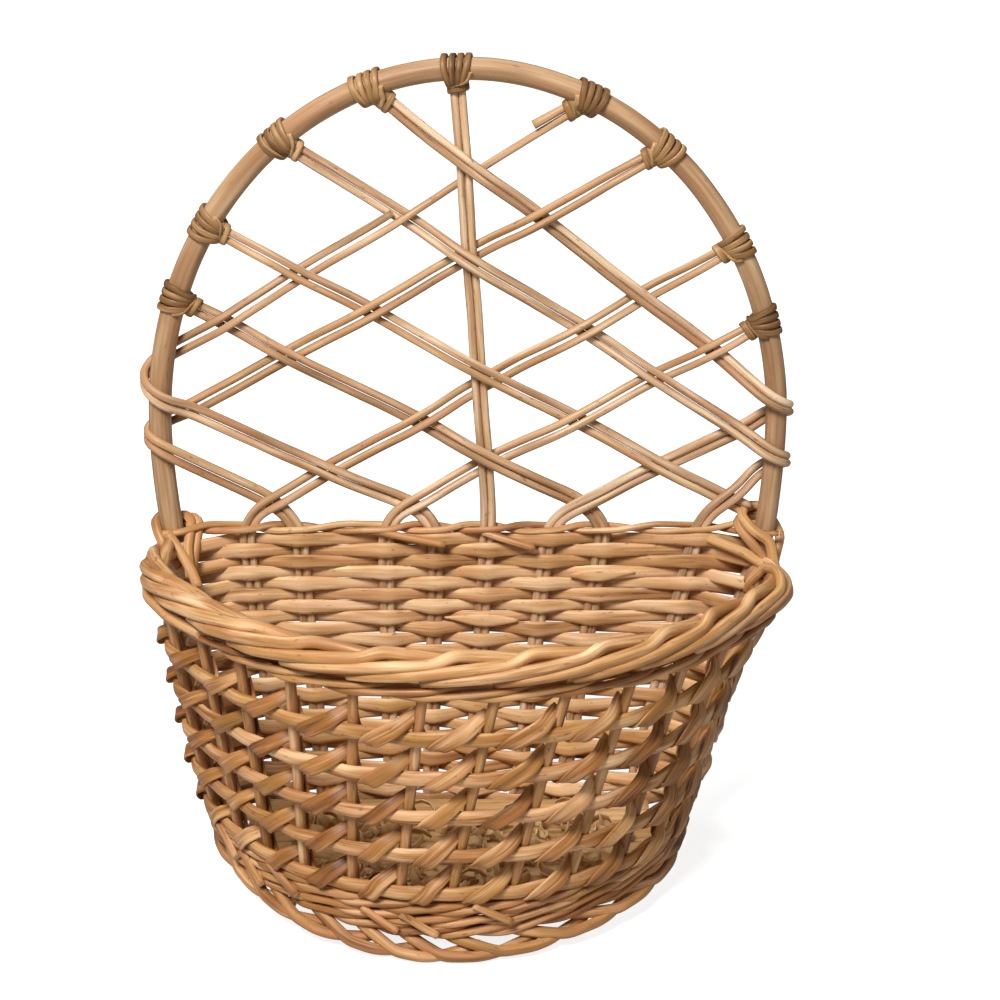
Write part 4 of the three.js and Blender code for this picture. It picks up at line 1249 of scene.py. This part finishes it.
# Stakes: foot tails that run right, shafts, and border tails that run left over the rim
border = {
    "run": 4.05,
    "wide": 5.8,
    "tip": 0.66,
    "tipFrom": 2.4,
    "step": 0.1,
    # spans run, out and lift in rods: inside the rim, a kink over the top, then down the outer face
    "keys": [(0.06, 0, 0.05), (0.3, -0.4, 0.2), (0.7, -0.75, 0.5), (1.15, -0.65, 0.92), (1.55, -0.4, 1.22),
             (1.66, -0.2, 1.2), (1.92, 0.45, 0.55), (2.6, 0.82, 0.12), (3.3, 1.12, -0.45), (3.72, 1.12, -0.8),
             (4.05, 0.62, -1.2)],
    "leftKeys": [(0.06, 0, 0.05), (0.3, -0.4, 0.1), (0.6, -0.75, 0.3), (1.0, -0.6, 0.85), (1.5, -0.05, 1.2),
                 (2.0, 0.5, 0.92), (2.5, 0.92, 0.38), (3.0, 1.16, -0.18), (3.5, 1.2, -0.72),
                 (4.05, 0.62, -1.2)],
    "smooth": (0.22, 0.45),  # share of the border where the kinks grow from none to all
    "kink": 1.74,
    "kinkReach": 0.12,
    "kinkPale": 0.3,
    "endDip": 6.5,  # the border sinks this far at the legs
    "endReach": 24.0,
}
footTail = {
    "step": 0.1,
    "wide": 5.6,
    "tip": 0.8,
    "legRoom": 2.0,
    "sideOut": 0.5,
    "frontOut": 1.12,
    # spans run, out and height in millimetres: a straight fall, a kink on the floor, a run under the next
    "keys": [(0.12, 0.8, 10.6), (0.6, 4.4, 6.9), (1.02, 7.4, 3.5), (1.6, 8.2, 3.0), (1.9, 6.6, 2.9),
             (2.15, 4.0, 3.5), (2.6, 1.8, 5.0)],
}
rodStep = 2 * stakeLook["radius"] + body["seat"]
legRoom = legClear + backWeave["thick"] / 2 + stakeLook["radius"] + 2 * body["seat"]


def borderPoint(s, u):
    along = s - u * stakeSpan
    kinked = ramp(along / arcLength, *border["smooth"])
    smooth = keyed(border["leftKeys"], u)
    sharp = keyed(border["keys"], u)
    out, lift = (lerp(a, b, kinked) * rodStep for a, b in zip(smooth, sharp))
    fromLeg = max(min(along, arcLength - along), 0) / border["endReach"]
    dip = border["endDip"] * math.exp(-fromLeg * fromLeg) + rimDip(along)
    return onWall(along, out, body["rimHeight"] + lift - dip)


def footStations(s, own):
    begin = footTail["keys"][0][0]
    end = min(footTail["keys"][-1][0], (arcLength - s - legRoom - footTail["legRoom"]) / stakeSpan)
    count = max(int((end - begin) / footTail["step"]), 1)
    stations = []
    for n in range(count, -1, -1):
        out, z = keyed(footTail["keys"], lerp(begin, end, n / count))
        along = leanAt(s + (lerp(begin, end, n / count) + own) * stakeSpan, z)
        out *= lerp(footTail["sideOut"], footTail["frontOut"], math.sin(math.pi * along / arcLength) ** 2)
        wide = footTail["wide"] * lerp(1, footTail["tip"], n / count)
        stations.append((onWall(along, out, z + footLift(along)), wide, stakeLook["tones"]["foot"] + own))
    return stations


def shaftStations(s, own):
    low = stakeLook["foot"] + footLift(s)
    high = body["rimHeight"] - rimDip(s)
    stations = []
    for n in range(stakeLook["shaftSteps"] + 1):
        z = lerp(low, high, stakeLook["top"] * n / stakeLook["shaftSteps"])
        wide = stakeLook["wide"] * dice.uniform(*stakeLook["uneven"])
        stations.append((onWall(leanAt(s, z), 0, z), wide, stakeLook["tones"]["shaft"] + own))
    return stations


def borderStations(s, own):
    begin = border["keys"][0][0]
    end = min(border["run"], (s - legRoom) / stakeSpan)
    count = max(int(end / border["step"]), 3)
    stations = []
    for n in range(count + 1):
        u = lerp(begin, end, n / count)
        wide = border["wide"] * lerp(1, border["tip"], ramp(u, border["tipFrom"], border["run"]))
        fromKink = (u - border["kink"]) / border["kinkReach"]
        tone = stakeLook["tones"]["border"] + own + border["kinkPale"] * math.exp(-fromKink * fromKink)
        stations.append((borderPoint(s, u), wide, tone))
    return stations


for k in range(stakeLook["count"]):
    s = stakePlace(k)
    own = dice.uniform(-stakeLook["slip"], stakeLook["slip"])
    stations = [*footStations(s, own), *shaftStations(s, own), *borderStations(s, own)]
    points, wide, tones = (list(column) for column in zip(*stations))
    made = strand(points, wide, tone=tones, spacing=2.0, soft=1)
    makePiece(f"stake_{k + 1}", [made], "stake", stakeLook["sweep"], k)
print("stakes", stakeLook["count"])

# Hooks: rods that tie the border to the hoop legs
hooks = {
    "wide": 4.8,
    "uneven": (0.95, 1.06),
    "tones": (0.45, 0.8),
    "step": 0.12,  # spans between two stations on the border
    "sweep": {"Wander": 0.001, "Seed": 131},
    # stations: ("leg", across, depth, height), ("wall", along from that leg, out, height), or
    # ("border", stake, spans) for the border tail of a stake beyond the last one
    "left": [
        [("leg", 2, 8.5, 156.5), ("leg", -5, 6.5, 157.5), ("leg", -7.6, 0, 156.8), ("leg", -6, -6, 153.5),
         ("leg", -3.5, -10, 149.5), ("leg", -0.5, -13, 143.5), ("leg", 1, -13.5, 139)],
        [("leg", -1, -8.3, 154.5), ("leg", 2.5, -11, 149), ("leg", 6, -15.5, 144.5), ("leg", 9, -20, 139.5),
         ("leg", 11, -25, 134)],
        [("leg", 0, 8.6, 155.5), ("leg", 6, 6.5, 157.5), ("leg", 9.4, 1, 157), ("leg", 8.6, -4, 152.5),
         ("leg", 7, -9, 147), ("leg", 7, -14, 141), ("leg", 7, -17, 136)],
        [("leg", 3, 9.8, 154), ("leg", 10, 6, 156.5), ("leg", 12.8, 1.5, 155.5), ("leg", 11.4, -2.5, 150),
         ("leg", 9.4, -7, 144), ("leg", 7.4, -12, 138)],
        [("leg", -3, -8.6, 149.5), ("leg", -8, -9, 146), ("leg", -11.4, -10.5, 143), ("wall", 20, 6, 142),
         ("wall", 32, 6.4, 141), ("wall", 48, 6.4, 140.5), ("wall", 70, 6, 140), ("wall", 92, 3.6, 139.5)],
    ],
    "right": [
        [("leg", 2, 8.4, 161), ("leg", -6, 7.4, 162), ("leg", -11, 3, 162.5), ("leg", -12.2, -1.5, 160.5),
         ("leg", -7, -8.3, 156), ("leg", 1.5, -11, 151.5), ("border", 16, 2.8)],
        [("leg", -1, 8.4, 157), ("leg", -9, 6, 157.5), ("leg", -13.2, 1, 157), ("leg", -12.6, -4, 155),
         ("leg", -7, -9.3, 150.5), ("leg", 0.5, -11.6, 143.5), ("leg", 5, -13, 138)],
        [("leg", -1, 8.5, 160), ("leg", 4, 5.8, 155.5), ("leg", 8, 1.5, 149.5), ("border", 17, 3.55)],
        [("leg", -2, -6.8, 130), ("leg", -2.4, -9.4, 135), ("leg", -1, -12.2, 138.5), ("border", 15, 1.62)],
        [("leg", -2, -12, 127), ("leg", -3, -16, 133), ("border", 14, 0.95)],
        [("leg", -30, 1, 150.5), ("leg", -22, -4, 148.5), ("leg", -8, -9.5, 145), ("leg", 2, -14.5, 140.5),
         ("leg", 6, -19, 137), ("leg", 7.5, -24, 132), ("leg", 6.5, -28, 127)],
    ],
}


def hookStations(side, station):
    kind, a, *rest = station
    if kind == "leg":
        b, z = rest
        return [vec(hoopX(side, z) + a, b, z)]
    if kind == "wall":
        return [onWall(a if side < 0 else arcLength - a, *rest)]
    steps = max(int((border["run"] - rest[0]) / hooks["step"]), 2)
    return [borderPoint(stakePlace(a), lerp(rest[0], border["run"], n / steps)) for n in range(steps + 1)]


for side, name in ((-1, "left"), (1, "right")):
    strands = []
    for stations in hooks[name]:
        points = [p for station in stations for p in hookStations(side, station)]
        wide = [hooks["wide"] * dice.uniform(*hooks["uneven"]) for _ in points]
        strands.append(strand(points, wide, tone=dice.uniform(*hooks["tones"]), spacing=2.2, soft=1))
    makePiece(f"border_hook_{name}", strands, "border_rod", hooks["sweep"], side)
print("hooks")

# Base: splints side by side on runners, with loose shavings on them
base = {
    "slats": 5,
    "splints": 2,  # of each slat
    "height": 16.2,
    "thick": 2.0,
    "splintThick": 1.6,
    "gap": 0.3,
    "short": 4.0,
    "taken": 0.2,  # share of a splint's pitch towards the front, where its ends meet the wall
    "ragged": 2.0,
    "legRoom": 12.0,
    "uneven": (0.94, 1.04),
    "tones": (0.2, 0.9),
    "runners": 4,
    "runnerWide": 2.8,
    "spread": 0.6,
    "slatSweep": {"Step": 0.004, "Sides": 12, "Wander": 0.0006, "Seed": 140},
    "runnerSweep": {"Step": 0.004, "Seed": 150},
}
curls = {
    "count": 38,  # on each slat but the rearmost
    "wide": 4.2,
    "thick": 0.8,
    "taper": (0.6, 0.9, *[1.0] * 9, 0.8, 0.5),
    "reach": (3.5, 8.5),
    "tighten": 0.7,
    "turn": (190, 330),  # degrees
    "stand": (0.15, 0.8),
    "lift": 0.3,
    "room": 17.0,
    "tones": (0.3, 1.0),
}
slatZ = base["height"] - base["thick"]
inset = stakeLook["radius"] + wales["wide"] + 2 * body["seat"]
baseHalf = planHalf(slatZ) - inset
baseDepth = planDepth(slatZ) - inset
baseBack = pairClear + backWeave["thick"] / 2 + 2 * body["seat"]
slatPitch = (baseDepth - base["short"] - baseBack) / base["slats"]


def bowed(share):  # what is left of the plan's half width at a share of its depth, or the other way round
    return max(1 - abs(share) ** body["planPower"], 0) ** (1 / body["planPower"])


def curl(y):  # a loose shaving rolled into part of a ring, lying over or standing
    reach = dice.uniform(*curls["reach"])
    turn = dice.uniform(0, 2 * math.pi)
    stand = dice.uniform(*curls["stand"])
    y = min(y, baseDepth - curls["room"])
    x = planShift(slatZ) + (baseHalf * bowed(y / baseDepth) - curls["room"]) * dice.uniform(-1, 1)
    middle = vec(x, -y, slatZ + base["thick"] + curls["wide"] * curls["lift"] + reach * stand)
    ahead = vec(math.cos(turn), math.sin(turn), 0)
    flat = math.sqrt(1 - stand ** 2)
    across = vec(-ahead.y * flat, ahead.x * flat, stand)
    sweep = math.radians(dice.uniform(*curls["turn"]))
    points = []
    faces = []
    last = len(curls["taper"]) - 1
    for n in range(last + 1):
        angle = turn + sweep * n / last
        faces.append(ahead * math.cos(angle) + across * math.sin(angle))
        points.append(middle + faces[-1] * (reach * lerp(1.0, curls["tighten"], n / last)))
    wide = [curls["wide"] * f for f in curls["taper"]]
    tone = dice.uniform(*curls["tones"])
    return strand(points, wide, curls["thick"], faces, tone, squared=0.5, spacing=2.0, soft=1)


for n in range(base["slats"]):
    strands = [curl(baseBack + (n + dice.random()) * slatPitch) for _ in range(curls["count"] * (n > 0))]
    pitch = slatPitch / base["splints"]
    for m in range(base["splints"]):
        y = baseBack + n * slatPitch + (m + 0.5) * pitch
        half = baseHalf * bowed((y + pitch * base["taken"]) / baseDepth) - dice.uniform(0, base["ragged"])
        if y - pitch / 2 < base["legRoom"]:
            half = min(half, baseHalf - hoopLook["radius"] - base["short"])
        z = slatZ + base["thick"] / 2
        points = [vec(planShift(slatZ) + half * f, -y, z) for f in (-1, -0.5, 0, 0.5, 1)]
        wide = (pitch - base["gap"]) * dice.uniform(*base["uneven"])
        strands.append(strand(points, wide, base["splintThick"], [zAxis] * len(points),
                              dice.uniform(*base["tones"]), squared=0.7, spacing=6))
    makePiece(f"base_slat_{n + 1}", strands, "base_slat", base["slatSweep"], n)
for n in range(base["runners"]):
    share = lerp(-base["spread"], base["spread"], n / (base["runners"] - 1))
    x = planShift(slatZ) + baseHalf * share
    front = baseDepth * bowed(share) - base["short"]
    z = slatZ - base["runnerWide"] / 2
    points = [vec(x, -lerp(baseBack, front, f), z) for f in (0, 0.25, 0.5, 0.75, 1)]
    runner = strand(points, base["runnerWide"], tone=0.5, spacing=6)
    makePiece(f"base_runner_{n + 1}", [runner], "base_runner", base["runnerSweep"], n)
print("base")

# Stage: camera, floor, light
stage = {
    "eye": (14.55, -1100.0, 589.8),
    "down": 21.0,  # degrees below level
    "lens": 91.9,
    "farthest": 50,
    "floorSize": 12.0,
    "floorColour": (0.55, 0.55, 0.55, 1.0),
    "white": 0.84,  # share of the floor's white that shadow doesn't take
    "whiteReach": (0.25, 0.9),  # metres over which it grows to all of it
    "skyFill": 0.12,
    "skyColour": (1, 1, 1, 1),
    "aim": (0, 0, 0.15),
}
lights = {
    "key": {"at": (-0.45, -1.05, 1.5), "size": 0.5, "power": 37.5},
    "fill": {"at": (1.1, -1.0, 0.6), "size": 1.2, "power": 1.5},
    "top": {"at": (0.1, 0.1, 1.7), "size": 0.9, "power": 4.0},
}
scene = bpy.context.scene
camera = bpy.data.objects.new("camera", bpy.data.cameras.new("camera"))
camera.data.lens = stage["lens"]
camera.data.clip_end = stage["farthest"]
camera.location = metres(vec(*stage["eye"]))
camera.rotation_euler = (math.radians(90 - stage["down"]), 0, 0)
scene.collection.objects.link(camera)
scene.camera = camera


def showSurface(tree, output, plain, seen):  # the camera sees one shader, light the other
    path = addNode(tree, "ShaderNodeLightPath")
    shown = addNode(tree, "ShaderNodeMixShader", {0: path.outputs["Is Camera Ray"], 1: plain, 2: seen})
    tree.links.new(shown.outputs["Shader"], addNode(tree, output).inputs["Surface"])


def floorMaterial():
    material = bpy.data.materials.new("paleFloor")
    material.use_nodes = True
    tree = material.node_tree
    tree.nodes.clear()
    matt = addNode(tree, "ShaderNodeBsdfDiffuse", {"Color": stage["floorColour"]}).outputs["BSDF"]
    place = addNode(tree, "ShaderNodeTexCoord").outputs["Object"]
    strength = ranged(tree, vectorMath(tree, "LENGTH", place), *stage["whiteReach"], stage["white"], 1.0)
    white = addNode(tree, "ShaderNodeEmission", {"Strength": strength}).outputs["Emission"]
    seen = addNode(tree, "ShaderNodeAddShader", {0: matt, 1: white}).outputs["Shader"]
    showSurface(tree, "ShaderNodeOutputMaterial", matt, seen)
    return material


half = stage["floorSize"] / 2
corners = [(-half, -half, 0), (half, -half, 0), (half, half, 0), (-half, half, 0)]
floorMesh = bpy.data.meshes.new("floor")
floorMesh.from_pydata(corners, [], [(0, 1, 2, 3)])
floorMesh.materials.append(floorMaterial())
floor = bpy.data.objects.new("floor", floorMesh)
scene.collection.objects.link(floor)

world = bpy.data.worlds.new("studio")
world.use_nodes = True
scene.world = world
world.node_tree.nodes.clear()
skies = [addNode(world.node_tree, "ShaderNodeBackground", {"Color": stage["skyColour"], "Strength": strength})
         for strength in (stage["skyFill"], 1.0)]
showSurface(world.node_tree, "ShaderNodeOutputWorld", *[sky.outputs["Background"] for sky in skies])

for name, look in lights.items():
    light = bpy.data.lights.new(name, "AREA")
    light.size = look["size"]
    light.energy = look["power"]
    lamp = bpy.data.objects.new(name, light)
    lamp.location = look["at"]
    aim = Vector(stage["aim"]) - lamp.location
    lamp.rotation_euler = aim.to_track_quat("-Z", "Y").to_euler()
    scene.collection.objects.link(lamp)
scene.view_settings.view_transform = "Standard"
print("stage")
